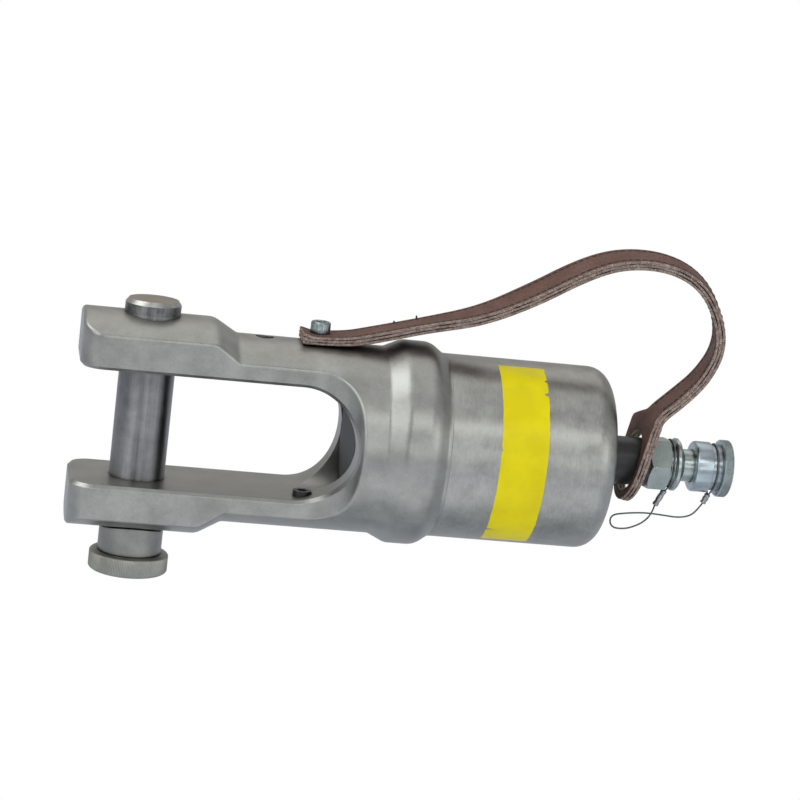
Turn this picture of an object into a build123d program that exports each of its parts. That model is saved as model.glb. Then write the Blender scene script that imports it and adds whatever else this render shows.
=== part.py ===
"""Hydraulic crimping head: a forked clevis on a spring return cylinder, with a pull pin,
a leather carrying strap and a capped quick coupler. Millimetres, +Z up.

The origin is the centre of the ram's resting face. X runs along the cylinder from the
fork's tip to the coupler, and the die pin is parallel to Z.
"""
from math import acos, atan2, cos, degrees, pi, radians, sin, sqrt, tan
import os

from build123d import *

os.makedirs("parts", exist_ok=True)

# Clearances
slide_clearance = 0.05      # radial, for what slides
seat_clearance = 0.02       # radial, for what is screwed or pressed in
face_gap = 0.05             # between faces that meet
cut_margin = 20.0           # how far a cutter runs past the metal
same_place = 0.01           # places nearer to each other than this are one
arc_share = 0.45            # part of the shorter run that an arc takes beside a corner

# Fork
throat_length = 116.3       # ram face to the near side of the die pin
pin_to_tip = 44.1
boss_diameter = 140.8
boss_length = 84.2
shoulder_length = 15.4
shoulder_round = 12.0
shoulder_foot_round = 6.0
neck_diameter = 122.8
collar_offset = 18.0        # ram face to the foot of the collar
collar_diameter = 133.6
collar_rise_length = 11.5
collar_crest_length = 18.4
collar_fall_length = 8.8
collar_lip_length = 2.0     # the collar's end lies along the barrel
collar_foot_round = 5.0
collar_front_round = 9.0
collar_rear_round = 13.0
collar_end_step = 0.1       # collar's end stands above the barrel by this much
blade_thickness = 75.0      # across the two milled side flats
blade_corner_radius = 15.0
blade_edge_round = 2.5      # all round the fork, where its end and sides leave the turned outside
flat_end_offset = 27.9      # the flats stop this far in front of the ram face
flat_runout_end = 2.6       # their concave run-out meets the neck this far behind the ram face
slot_width = 74.0
slot_end_offset = 0.5       # the slot's round end passes the ram face by this much
slot_chamfer = 2.2
web_thickness = 24.0        # ram face to the floor of the barrel socket

# Die pin and knob
pin_diameter = 36.0
pin_stand_out = 8.7         # above the upper boss
pin_top_chamfer = 3.0
pin_collar_diameter = 41.5
pin_collar_length = 16.3
pin_collar_gap = 0.4
pin_spigot_diameter = 18.0
pin_spigot_length = 8.0
knob_diameter = 51.5
knob_length = 13.2
knob_chamfer = 1.0
knob_screw_diameter = 8.0
knob_screw_length = 26.0
knob_screw_head_diameter = 16.0
knob_screw_socket = 5.0
knob_screw_socket_depth = 3.0
drag_ring_section = 3.5
drag_ring_height = 54.0     # below the axis, inside the lower boss

# Set screws in the arms
guide_screw_diameter = 12.0
guide_screw_length = 14.0
guide_screw_offset = 28.6   # in front of the ram face
guide_screw_side = 21.0     # towards the viewer's flat
guide_screw_stand_out = 3.8
guide_screw_ram_gap = 0.4
upper_screw_diameter = 12.0
upper_screw_length = 16.0
upper_screw_offset = 61.0
upper_screw_sink = 5.0
set_screw_socket = 6.0
set_screw_socket_depth = 6.0

# Ram, piston and return spring
ram_diameter = 72.0
ram_chamfer = 1.5
stroke = 26.0
spring_wire = 7.0
spring_turns = 6.5
spring_reserve = 10.5       # travel left before the coils close
spring_mean_diameter = 82.0
spring_corners = 12         # straight runs in each turn of a spring's wire
stud_diameter = 30.0
piston_length = 42.0
piston_end_gap = 2.0
nut_across_flats = 46.0
nut_length = 15.0
nut_recess_depth = 17.0
nut_recess_diameter = 57.0
wear_ring_offset = 6.0
wear_ring_width = 8.0
wear_ring_depth = 2.5
seal_offset = 20.0
seal_width = 5.5
seal_depth = 6.0
seal_lip = 2.0
backup_ring_width = 2.3
bush_length = 14.0
bush_wall = 4.0
wiper_offset = 3.0
wiper_width = 4.0
wiper_depth = 3.0

# Barrel
barrel_diameter = 120.5
barrel_end_round = 14.0
cylinder_bore = 92.0
spigot_diameter = 108.0
rear_wall = 19.4
port_diameter = 21.0
port_depth = 16.0
port_seal_diameter = 28.0
port_seal_thickness = 2.0
oil_passage = 8.0

# Port adapter, coupler and dust cap
adapter_diameter = 32.0
adapter_length = 31.6
adapter_stub_diameter = 19.0
adapter_stub_length = 11.0
hex_flats = 32.5
hex_length = 14.4
hex_turn = -2.5             # degrees, one corner a little over the side
hex_chamfer_angle = 30.0
loop_groove_width = 3.0
coupler_groove_diameter = 31.6
coupler_ring_diameter = 35.2
coupler_ring_length = 4.5
coupler_ring_chamfer = 1.4
nipple_diameter = 21.6
nipple_length = 26.1
nipple_flare_length = 2.6   # cone between the ring and the nipple
nipple_flare_rise = 2.6
nipple_chamfer = 1.2
valve_chamber_diameter = 14.0
valve_mouth_diameter = 10.0
valve_mouth_length = 3.5
valve_seat_length = 2.0
valve_gap = 0.1
poppet_head_length = 3.6
poppet_head_diameter = 12.4
poppet_nose_diameter = 6.4
poppet_nose_sink = 0.4
poppet_stem_diameter = 4.0
poppet_stem_length = 24.5
poppet_spring_wire = 0.9
poppet_spring_diameter = 8.4
poppet_spring_turns = 8.0
valve_guide_length = 4.0
valve_guide_hole_diameter = 2.4
valve_guide_holes = 4
cap_depth = 16.6            # how far the cap reaches over the nipple
cap_mouth_diameter = 31.0
cap_mouth_length = 0.9
cap_band_diameter = 33.8
cap_band_length = 10.8
cap_groove_diameter = 30.4
cap_groove_length = 6.5
cap_flange_diameter = 38.4
cap_flange_length = 6.8
cap_flange_chamfer = 0.8
cap_seal_thickness = 2.0
grip_ring_section = 1.7     # rubber ring in the cap's bore that grips the nipple

# Lanyard
lanyard_diameter = 1.2
ferrule_diameter = 4.0
ferrule_chamfer = 0.5
ferrule_bite = 1.0          # length of wire held inside a ferrule
strand_spacing = 1.4        # the two ends of a loop, side by side in the ferrule
coupler_loop_drop = 18.0    # axis to the ferrule's upper end
cap_loop_drop = 18.4
cap_loop_offset = 3.1       # behind the cap's band
coupler_ferrule_reach = (-5.7, -2.0, -10.4)
cap_ferrule_reach = (-2.85, 0.0, -6.4)

# Route of the lanyard between its ferrules, from the coupler's groove and the axis
lanyard_route = [
    (-7.0, -3.0, -33.9),
    (-12.4, -4.0, -40.4),
    (-20.9, -4.0, -44.8),
    (-26.5, -3.2, -46.1),
    (-31.7, -1.6, -46.2),
    (-34.0, -0.2, -43.9),
    (-34.0, 1.2, -40.6),
    (-31.7, 2.4, -38.2),
    (-26.5, 3.0, -37.2),
    (-18.9, 3.4, -36.2),
    (-8.9, 3.4, -35.4),
    (2.1, 3.0, -36.0),
    (12.5, 2.0, -36.6),
    (20.3, 1.0, -34.6),
    (24.7, 0.3, -29.8),
]

# Carrying strap and its bolt
strap_bolt_offset = 25.7    # in front of the ram face
strap_bolt_diameter = 8.0
strap_bolt_grip = 16.0      # length of thread in the fork
strap_bolt_head_diameter = 13.0
strap_bolt_head_length = 8.0
strap_bolt_head_chamfer = 1.0
strap_bolt_socket = 6.0
strap_bolt_socket_depth = 4.0
strap_width = 29.0
strap_thickness = 7.0
strap_squeeze = 2.0         # how far the bolt's head sinks into the leather
strap_front_length = 12.2   # bolt to the strap's cut end
strap_rest_length = 11.7    # length that lies on the neck behind the bolt
tab_offset = 23.9           # barrel's rear end to the middle of the tab
tab_lean = 11.3             # degrees, top of the tab towards the coupler
tab_width = 54.0
tab_hole_diameter = 41.0
tab_height = 32.8           # axis to the bend above the tab
tab_side_step = 8.0         # at the bend, the strap's middle is this far nearer the viewer's flat

# Middle line of the strap's handle, from its bolt and above the neck
strap_front_route = [
    (37.7, 8.2),
    (70.7, 17.8),
    (103.7, 27.2),
    (133.7, 42.4),
    (165.7, 63.0),
    (191.7, 73.2),
]

# Middle line of the strap's rear loop, from the tab's middle and above the axis
strap_rear_route = [
    (2.7, 135.6),
    (27.2, 126.0),
    (43.2, 105.5),
    (48.0, 82.5),
    (38.2, 61.0),
    (22.2, 44.5),
]

# Places along X that follow from the sizes
slot_radius = slot_width / 2
slot_centre_x = slot_end_offset - slot_radius
pin_x = -(throat_length + pin_diameter / 2)
tip_x = pin_x - pin_to_tip
boss_end_x = tip_x + boss_length
neck_start_x = boss_end_x + shoulder_length
crest_start_x = collar_offset + collar_rise_length
crest_end_x = crest_start_x + collar_crest_length
collar_foot_x = crest_end_x + collar_fall_length
collar_end_x = collar_foot_x + collar_lip_length
spring_length = spring_turns * spring_wire + stroke + spring_reserve
piston_front_x = web_thickness + spring_length
piston_rear_x = piston_front_x + piston_length
bore_end_x = piston_rear_x + piston_end_gap
barrel_end_x = bore_end_x + rear_wall
adapter_start_x = barrel_end_x + face_gap
adapter_end_x = adapter_start_x + adapter_length
hex_start_x = adapter_end_x + face_gap
hex_end_x = hex_start_x + hex_length
ring_start_x = hex_end_x + loop_groove_width
ring_end_x = ring_start_x + coupler_ring_length
nipple_end_x = ring_end_x + nipple_length
cap_mouth_x = nipple_end_x - cap_depth
cap_band_x = cap_mouth_x + cap_mouth_length
cap_groove_x = cap_band_x + cap_band_length
cap_flange_x = cap_groove_x + cap_groove_length
cap_end_x = cap_flange_x + cap_flange_length
strap_bolt_x = -strap_bolt_offset
guide_screw_x = -guide_screw_offset
upper_screw_x = -upper_screw_offset
tab_x = barrel_end_x + tab_offset

# Radii that follow from the sizes
boss_radius = boss_diameter / 2
neck_radius = neck_diameter / 2
collar_radius = collar_diameter / 2
barrel_radius = barrel_diameter / 2
blade_half = blade_thickness / 2
pin_radius = pin_diameter / 2
ram_radius = ram_diameter / 2
ram_bore_radius = ram_radius + slide_clearance
bush_radius = ram_bore_radius + bush_wall
bore_radius = cylinder_bore / 2
piston_radius = bore_radius - slide_clearance
spigot_radius = spigot_diameter / 2
stud_radius = stud_diameter / 2
passage_radius = oil_passage / 2
nipple_radius = nipple_diameter / 2
cap_bore_radius = nipple_radius + slide_clearance
lanyard_radius = lanyard_diameter / 2


def turned(outline):
    """Half section of a piece turned about X, as (x, radius) corners."""
    with BuildSketch(Plane.XZ) as section:
        with BuildLine():
            Polyline(*outline, close=True)
        make_face()
    return section.sketch


def ring(start_x, end_x, inner_radius, outer_radius):
    """Half section of a plain ring or bore about X."""
    return turned([
        (start_x, inner_radius),
        (end_x, inner_radius),
        (end_x, outer_radius),
        (start_x, outer_radius),
    ])


def upright_axis(x, y=0.0):
    return Axis((x, y, 0), (0, 0, 1))


def upright(x, outline, y=0.0):
    """Half section of a piece turned about a vertical line, as (radius, z) corners."""
    with BuildSketch(Plane(origin=(x, y, 0), x_dir=(1, 0, 0), z_dir=(0, -1, 0))) as section:
        with BuildLine():
            Polyline(*outline, close=True)
        make_face()
    return section.sketch


def upright_bore(x, low_z, high_z, radius, y=0.0):
    return upright(x, [(0, low_z), (radius, low_z), (radius, high_z), (0, high_z)], y)


def hexagon(plane, across_flats, turn=0.0):
    with BuildSketch(plane) as outline:
        RegularPolygon(across_flats / 2, 6, major_radius=False, rotation=turn)
    return outline.sketch


def widest_arcs(points):
    """Radius of the arc at each corner that takes its share of the shorter run."""
    radii = []
    for before, corner, after in zip(points, points[1:], points[2:]):
        run_in = Vector(*corner) - Vector(*before)
        run_out = Vector(*after) - Vector(*corner)
        half_turn = radians(run_in.get_angle(run_out)) / 2
        radii.append(arc_share * min(run_in.length, run_out.length) / tan(half_turn))
    return radii


def loop_start(drop, radius):
    """Angle in degrees, seen along X, where a strand from the ferrule meets its loop's circle."""
    side = strand_spacing / 2
    reach = sqrt(side ** 2 + drop ** 2)
    return degrees(atan2(-drop, side) + acos(radius / reach))


# Fork: one forging, turned outside, milled flat on both sides, slotted and bored
def on_blade_border(edge):
    """True for an edge where the fork's end, a milled flat or its run-out leaves the turned outside."""
    spot = edge @ 0.5
    run = (edge @ 1) - (edge @ 0)
    side = abs(spot.Y)
    if sqrt(run.X ** 2 + run.Y ** 2) < same_place:
        return False
    if abs(spot.X - tip_x) < same_place:
        off = sqrt(spot.Y ** 2 + spot.Z ** 2) - boss_radius
    elif spot.X < corner_x and side > corner_y:
        off = sqrt((spot.X - corner_x) ** 2 + (side - corner_y) ** 2) - blade_corner_radius
    elif spot.X < runout_x:
        off = side - blade_half
    else:
        off = sqrt((spot.X - runout_x) ** 2 + (side - runout_y) ** 2) - flat_runout_radius
    return abs(off) < same_place


def on_slot_wall(edge):
    """True for an edge of the U slot where it meets the outside of the fork."""
    spot = edge @ 0.5
    if spot.X <= slot_centre_x:
        return abs(abs(spot.Z) - slot_radius) < same_place
    return abs(sqrt((spot.X - slot_centre_x) ** 2 + spot.Z ** 2) - slot_radius) < same_place


collar_end_radius = barrel_radius + collar_end_step
lip_round = widest_arcs([
    (crest_end_x, 0, collar_radius),
    (collar_foot_x, 0, collar_end_radius),
    (collar_end_x, 0, collar_end_radius),
])[0]
far_x = tip_x - cut_margin
far_y = boss_radius + cut_margin
corner_x = tip_x + blade_corner_radius
corner_y = blade_half - blade_corner_radius
runout_x = -flat_end_offset
runout_length = flat_end_offset + flat_runout_end
runout_depth = neck_radius - blade_half
flat_runout_radius = (runout_length ** 2 + runout_depth ** 2) / (2 * runout_depth)
runout_y = blade_half + flat_runout_radius
pin_bore_radius = pin_radius + slide_clearance
socket_radius = spigot_radius + seat_clearance
ram_low_at_screw = sqrt(ram_radius ** 2 - (guide_screw_side - guide_screw_diameter / 2) ** 2)
guide_screw_top_z = -max(slot_radius - guide_screw_stand_out, ram_low_at_screw + guide_screw_ram_gap)
guide_screw_low_z = guide_screw_top_z - guide_screw_length
upper_screw_top_z = neck_radius - upper_screw_sink
upper_screw_low_z = upper_screw_top_z - upper_screw_length
bolt_tip_z = neck_radius - strap_bolt_grip
wiper_radius = ram_radius + wiper_depth

with BuildPart() as fork_head:
    with BuildSketch(Plane.XZ):
        with BuildLine():
            FilletPolyline(
                (tip_x, 0),
                (tip_x, boss_radius),
                (boss_end_x, boss_radius),
                (neck_start_x, neck_radius),
                (collar_offset, neck_radius),
                (crest_start_x, collar_radius),
                (crest_end_x, collar_radius),
                (collar_foot_x, collar_end_radius),
                (collar_end_x, collar_end_radius),
                (collar_end_x, 0),
                radius=[
                    0,
                    shoulder_round,
                    shoulder_foot_round,
                    collar_foot_round,
                    collar_front_round,
                    collar_rear_round,
                    lip_round,
                    0,
                ],
            )
            Line((collar_end_x, 0), (tip_x, 0))
        make_face()
    revolve(axis=Axis.X)
    with BuildSketch():
        with BuildLine():
            Line((far_x, corner_y), (tip_x, corner_y))
            CenterArc((corner_x, corner_y), blade_corner_radius, 180, -90)
            Line((corner_x, blade_half), (runout_x, blade_half))
            CenterArc((runout_x, runout_y), flat_runout_radius, 270, 90)
            Line((runout_x + flat_runout_radius, runout_y), (runout_x + flat_runout_radius, far_y))
            Line((runout_x + flat_runout_radius, far_y), (far_x, far_y))
            Line((far_x, far_y), (far_x, corner_y))
        make_face()
        mirror(about=Plane.XZ)
    extrude(amount=far_y, both=True, mode=Mode.SUBTRACT)
    fillet(fork_head.edges().filter_by(on_blade_border), blade_edge_round)
    with BuildSketch(Plane.XZ):
        with Locations((slot_centre_x, 0)):
            Circle(slot_radius)
            Rectangle(slot_centre_x - far_x, slot_width, align=(Align.MAX, Align.CENTER))
    extrude(amount=far_y, both=True, mode=Mode.SUBTRACT)
    chamfer(fork_head.edges().filter_by(on_slot_wall), slot_chamfer)
    revolve(ring(slot_centre_x, web_thickness, 0, ram_bore_radius), axis=Axis.X, mode=Mode.SUBTRACT)
    revolve(
        ring(wiper_offset, wiper_offset + wiper_width, 0, wiper_radius),
        axis=Axis.X,
        mode=Mode.SUBTRACT,
    )
    revolve(
        ring(web_thickness - bush_length, web_thickness, 0, bush_radius + seat_clearance),
        axis=Axis.X,
        mode=Mode.SUBTRACT,
    )
    revolve(
        ring(web_thickness, collar_end_x, 0, socket_radius),
        axis=Axis.X,
        mode=Mode.SUBTRACT,
    )
    revolve(
        upright_bore(pin_x, -far_y, far_y, pin_bore_radius),
        axis=upright_axis(pin_x),
        mode=Mode.SUBTRACT,
    )
    revolve(
        upright_bore(
            guide_screw_x,
            guide_screw_low_z - face_gap,
            0,
            guide_screw_diameter / 2 + seat_clearance,
            -guide_screw_side,
        ),
        axis=upright_axis(guide_screw_x, -guide_screw_side),
        mode=Mode.SUBTRACT,
    )
    revolve(
        upright_bore(upper_screw_x, 0, far_y, upper_screw_diameter / 2 + seat_clearance),
        axis=upright_axis(upper_screw_x),
        mode=Mode.SUBTRACT,
    )
    revolve(
        upright_bore(
            strap_bolt_x,
            bolt_tip_z - 2 * face_gap,
            far_y,
            strap_bolt_diameter / 2 + seat_clearance,
        ),
        axis=upright_axis(strap_bolt_x),
        mode=Mode.SUBTRACT,
    )
fork_head.part.label = "fork_head"
export_step(fork_head.part, "parts/fork_head.step")

# Die pin: a ground shaft with a collar, a groove for its drag ring and a spigot for the knob
collar_top_z = -boss_radius - pin_collar_gap
collar_low_z = collar_top_z - pin_collar_length
knob_low_z = collar_low_z - face_gap - knob_length
pin_top_z = boss_radius + pin_stand_out
spigot_low_z = collar_low_z - pin_spigot_length
pin_spigot_radius = pin_spigot_diameter / 2
knob_thread_radius = knob_screw_diameter / 2
knob_screw_top_z = knob_low_z + knob_screw_length
ring_middle_radius = pin_bore_radius - seat_clearance - drag_ring_section / 2
ring_floor_radius = ring_middle_radius - drag_ring_section / 2 - seat_clearance
ring_groove_half = drag_ring_section / 2 + face_gap

with BuildPart() as die_pin:
    revolve(
        upright(pin_x, [
            (0, pin_top_z),
            (pin_radius - pin_top_chamfer, pin_top_z),
            (pin_radius, pin_top_z - pin_top_chamfer),
            (pin_radius, -drag_ring_height + ring_groove_half),
            (ring_floor_radius, -drag_ring_height + ring_groove_half),
            (ring_floor_radius, -drag_ring_height - ring_groove_half),
            (pin_radius, -drag_ring_height - ring_groove_half),
            (pin_radius, collar_top_z),
            (pin_collar_diameter / 2, collar_top_z),
            (pin_collar_diameter / 2, collar_low_z),
            (pin_spigot_radius, collar_low_z),
            (pin_spigot_radius, spigot_low_z),
            (0, spigot_low_z),
        ]),
        axis=upright_axis(pin_x),
    )
    revolve(
        upright_bore(
            pin_x, spigot_low_z, knob_screw_top_z + face_gap, knob_thread_radius + seat_clearance
        ),
        axis=upright_axis(pin_x),
        mode=Mode.SUBTRACT,
    )
die_pin.part.label = "die_pin"
export_step(die_pin.part, "parts/die_pin.step")

with BuildPart() as pin_drag_ring:
    with BuildSketch(Plane.XZ):
        with Locations((pin_x + ring_middle_radius, -drag_ring_height)):
            Circle(drag_ring_section / 2)
    revolve(axis=upright_axis(pin_x))
pin_drag_ring.part.label = "pin_drag_ring"
export_step(pin_drag_ring.part, "parts/pin_drag_ring.step")

# Knob: a disc on the pin's spigot, held by a countersunk screw from below
screw_head_radius = knob_screw_head_diameter / 2
screw_hole_radius = knob_thread_radius + slide_clearance
knob_radius = knob_diameter / 2
knob_top_z = collar_low_z - face_gap
spigot_floor_z = spigot_low_z - face_gap
countersink_top_z = knob_low_z + screw_head_radius - knob_thread_radius

with BuildPart() as pin_knob:
    revolve(
        upright(pin_x, [
            (pin_spigot_radius + seat_clearance, knob_top_z),
            (knob_radius - knob_chamfer, knob_top_z),
            (knob_radius, knob_top_z - knob_chamfer),
            (knob_radius, knob_low_z + knob_chamfer),
            (knob_radius - knob_chamfer, knob_low_z),
            (screw_head_radius + slide_clearance, knob_low_z),
            (screw_hole_radius, countersink_top_z),
            (screw_hole_radius, spigot_floor_z),
            (pin_spigot_radius + seat_clearance, spigot_floor_z),
        ]),
        axis=upright_axis(pin_x),
    )
pin_knob.part.label = "pin_knob"
export_step(pin_knob.part, "parts/pin_knob.step")

with BuildPart() as knob_screw:
    revolve(
        upright(pin_x, [
            (0, knob_low_z),
            (screw_head_radius, knob_low_z),
            (knob_thread_radius, countersink_top_z),
            (knob_thread_radius, knob_screw_top_z),
            (0, knob_screw_top_z),
        ]),
        axis=upright_axis(pin_x),
    )
    extrude(
        hexagon(Plane(origin=(pin_x, 0, knob_low_z)), knob_screw_socket),
        amount=knob_screw_socket_depth,
        mode=Mode.SUBTRACT,
    )
knob_screw.part.label = "knob_screw"
export_step(knob_screw.part, "parts/knob_screw.step")


# Set screws in the two arms, each with a hexagon socket
def set_screw(x, y, low_z, top_z, diameter):
    with BuildPart() as screw:
        revolve(upright_bore(x, low_z, top_z, diameter / 2, y), axis=upright_axis(x, y))
        extrude(
            hexagon(Plane(origin=(x, y, top_z)), set_screw_socket),
            amount=-set_screw_socket_depth,
            mode=Mode.SUBTRACT,
        )
    return screw


die_guide_screw = set_screw(
    guide_screw_x, -guide_screw_side, guide_screw_low_z, guide_screw_top_z, guide_screw_diameter
)
die_guide_screw.part.label = "die_guide_screw"
export_step(die_guide_screw.part, "parts/die_guide_screw.step")

upper_set_screw = set_screw(
    upper_screw_x, 0, upper_screw_low_z, upper_screw_top_z, upper_screw_diameter
)
upper_set_screw.part.label = "upper_set_screw"
export_step(upper_set_screw.part, "parts/upper_set_screw.step")

# Ram with a stud that carries the piston
stud_end_x = piston_rear_x - nut_recess_depth + nut_length

with BuildPart() as ram:
    revolve(
        turned([
            (0, 0),
            (0, ram_radius - ram_chamfer),
            (ram_chamfer, ram_radius),
            (piston_front_x - face_gap, ram_radius),
            (piston_front_x - face_gap, stud_radius),
            (stud_end_x, stud_radius),
            (stud_end_x, 0),
        ]),
        axis=Axis.X,
    )
ram.part.label = "ram"
export_step(ram.part, "parts/ram.step")

# Piston with grooves for its wear ring and its seal, and a recess for the nut
wear_start_x = piston_front_x + wear_ring_offset
wear_end_x = wear_start_x + wear_ring_width + 2 * face_gap
wear_floor_radius = piston_radius - wear_ring_depth
seal_start_x = piston_front_x + seal_offset
seal_end_x = seal_start_x + seal_width + backup_ring_width + 3 * face_gap
seal_floor_radius = piston_radius - seal_depth
recess_x = piston_rear_x - nut_recess_depth
recess_radius = nut_recess_diameter / 2

with BuildPart() as piston:
    revolve(
        turned([
            (piston_front_x, stud_radius + seat_clearance),
            (piston_front_x, piston_radius),
            (wear_start_x, piston_radius),
            (wear_start_x, wear_floor_radius),
            (wear_end_x, wear_floor_radius),
            (wear_end_x, piston_radius),
            (seal_start_x, piston_radius),
            (seal_start_x, seal_floor_radius),
            (seal_end_x, seal_floor_radius),
            (seal_end_x, piston_radius),
            (piston_rear_x, piston_radius),
            (piston_rear_x, recess_radius),
            (recess_x, recess_radius),
            (recess_x, stud_radius + seat_clearance),
        ]),
        axis=Axis.X,
    )
piston.part.label = "piston"
export_step(piston.part, "parts/piston.step")

with BuildPart() as piston_nut:
    extrude(hexagon(Plane.YZ.offset(recess_x + face_gap), nut_across_flats), amount=nut_length - face_gap)
    revolve(
        ring(recess_x, stud_end_x + face_gap, 0, stud_radius + seat_clearance),
        axis=Axis.X,
        mode=Mode.SUBTRACT,
    )
piston_nut.part.label = "piston_nut"
export_step(piston_nut.part, "parts/piston_nut.step")

ring_outer_radius = bore_radius - seat_clearance

with BuildPart() as piston_wear_ring:
    revolve(
        ring(
            wear_start_x + face_gap,
            wear_end_x - face_gap,
            wear_floor_radius + seat_clearance,
            ring_outer_radius,
        ),
        axis=Axis.X,
    )
piston_wear_ring.part.label = "piston_wear_ring"
export_step(piston_wear_ring.part, "parts/piston_wear_ring.step")

backup_start_x = seal_start_x + face_gap
seal_body_x = backup_start_x + backup_ring_width + face_gap

with BuildPart() as piston_backup_ring:
    revolve(
        ring(
            backup_start_x,
            backup_start_x + backup_ring_width,
            seal_floor_radius + seat_clearance,
            ring_outer_radius,
        ),
        axis=Axis.X,
    )
piston_backup_ring.part.label = "piston_backup_ring"
export_step(piston_backup_ring.part, "parts/piston_backup_ring.step")

# The seal is a cup whose lips open towards the oil
lip_inner_radius = seal_floor_radius + seat_clearance

with BuildPart() as piston_seal:
    revolve(
        turned([
            (seal_body_x, lip_inner_radius),
            (seal_body_x, ring_outer_radius),
            (seal_body_x + seal_width, ring_outer_radius),
            (seal_body_x + seal_width, ring_outer_radius - seal_lip),
            (seal_body_x + seal_width / 2, (ring_outer_radius + lip_inner_radius) / 2),
            (seal_body_x + seal_width, lip_inner_radius + seal_lip),
            (seal_body_x + seal_width, lip_inner_radius),
        ]),
        axis=Axis.X,
    )
piston_seal.part.label = "piston_seal"
export_step(piston_seal.part, "parts/piston_seal.step")

# Guide bush and wiper that the ram slides through
with BuildPart() as ram_guide_bush:
    revolve(
        ring(
            web_thickness - bush_length + face_gap,
            web_thickness - face_gap,
            ram_bore_radius,
            bush_radius,
        ),
        axis=Axis.X,
    )
ram_guide_bush.part.label = "ram_guide_bush"
export_step(ram_guide_bush.part, "parts/ram_guide_bush.step")

with BuildPart() as ram_wiper:
    revolve(
        ring(
            wiper_offset + face_gap,
            wiper_offset + wiper_width - face_gap,
            ram_bore_radius,
            wiper_radius - seat_clearance,
        ),
        axis=Axis.X,
    )
ram_wiper.part.label = "ram_wiper"
export_step(ram_wiper.part, "parts/ram_wiper.step")


# Springs: a round wire that climbs along X in short runs joined by arcs
def spring(start_x, end_x, mean_diameter, wire, turns):
    mean_radius = mean_diameter / 2
    corner_radius = mean_radius / cos(pi / spring_corners)
    first_x = start_x + wire / 2 + 2 * face_gap
    height = end_x - start_x - wire - 4 * face_gap

    def place(turn, radius):
        angle = 2 * pi * turn
        return (first_x + height * turn / turns, radius * cos(angle), radius * sin(angle))

    points = [place(0, mean_radius)]
    for corner in range(round(turns * spring_corners)):
        points.append(place((corner + 0.5) / spring_corners, corner_radius))
    points.append(place(turns, mean_radius))
    with BuildPart() as coil:
        with BuildLine() as centre_line:
            FilletPolyline(*points, radius=widest_arcs(points))
        with BuildSketch(Plane(origin=centre_line.line @ 0, z_dir=centre_line.line % 0)):
            Circle(wire / 2)
        sweep()
    return coil


return_spring = spring(
    web_thickness, piston_front_x, spring_mean_diameter, spring_wire, spring_turns
)
return_spring.part.label = "return_spring"
export_step(return_spring.part, "parts/return_spring.step")

# Barrel: a spigot in the fork's socket, a rounded rear end and a threaded oil port
port_radius = port_diameter / 2
port_floor_x = barrel_end_x - port_depth
port_seal_radius = port_seal_diameter / 2
port_seal_x = barrel_end_x - port_seal_thickness

with BuildPart() as cylinder_barrel:
    with BuildSketch(Plane.XZ):
        with BuildLine():
            FilletPolyline(
                (web_thickness + face_gap, 0),
                (web_thickness + face_gap, spigot_radius),
                (collar_end_x + face_gap, spigot_radius),
                (collar_end_x + face_gap, barrel_radius),
                (barrel_end_x, barrel_radius),
                (barrel_end_x, 0),
                radius=[0, 0, 0, barrel_end_round],
            )
            Line((barrel_end_x, 0), (web_thickness + face_gap, 0))
        make_face()
    revolve(axis=Axis.X)
    revolve(ring(web_thickness, bore_end_x, 0, bore_radius), axis=Axis.X, mode=Mode.SUBTRACT)
    revolve(ring(bore_end_x, barrel_end_x, 0, passage_radius), axis=Axis.X, mode=Mode.SUBTRACT)
    revolve(
        ring(port_floor_x, barrel_end_x, 0, port_radius + seat_clearance),
        axis=Axis.X,
        mode=Mode.SUBTRACT,
    )
    revolve(ring(port_seal_x, barrel_end_x, 0, port_seal_radius), axis=Axis.X, mode=Mode.SUBTRACT)
cylinder_barrel.part.label = "cylinder_barrel"
export_step(cylinder_barrel.part, "parts/cylinder_barrel.step")

with BuildPart() as port_seal:
    revolve(
        ring(
            port_seal_x + face_gap,
            barrel_end_x,
            port_radius + seat_clearance,
            port_seal_radius - seat_clearance,
        ),
        axis=Axis.X,
    )
port_seal.part.label = "port_seal"
export_step(port_seal.part, "parts/port_seal.step")

# Port adapter: a plain black neck with a threaded stub at each end
adapter_stub_radius = adapter_stub_diameter / 2
stub_end_x = adapter_end_x + adapter_stub_length

with BuildPart() as port_adapter:
    revolve(
        turned([
            (port_floor_x + face_gap, passage_radius),
            (port_floor_x + face_gap, port_radius),
            (adapter_start_x, port_radius),
            (adapter_start_x, adapter_diameter / 2),
            (adapter_end_x, adapter_diameter / 2),
            (adapter_end_x, adapter_stub_radius),
            (stub_end_x, adapter_stub_radius),
            (stub_end_x, passage_radius),
        ]),
        axis=Axis.X,
    )
port_adapter.part.label = "port_adapter"
export_step(port_adapter.part, "parts/port_adapter.step")

# Coupler: hexagon, groove for the lanyard's loop, ring and nipple in one piece
chamber_radius = valve_chamber_diameter / 2
mouth_radius = valve_mouth_diameter / 2
socket_end_x = stub_end_x + face_gap
mouth_x = nipple_end_x - valve_mouth_length
seat_x = mouth_x - valve_seat_length
coupler_ring_radius = coupler_ring_diameter / 2
hex_corner_radius = hex_flats / sqrt(3)
hex_chamfer_length = (hex_corner_radius - hex_flats / 2) * tan(radians(hex_chamfer_angle))

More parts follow.
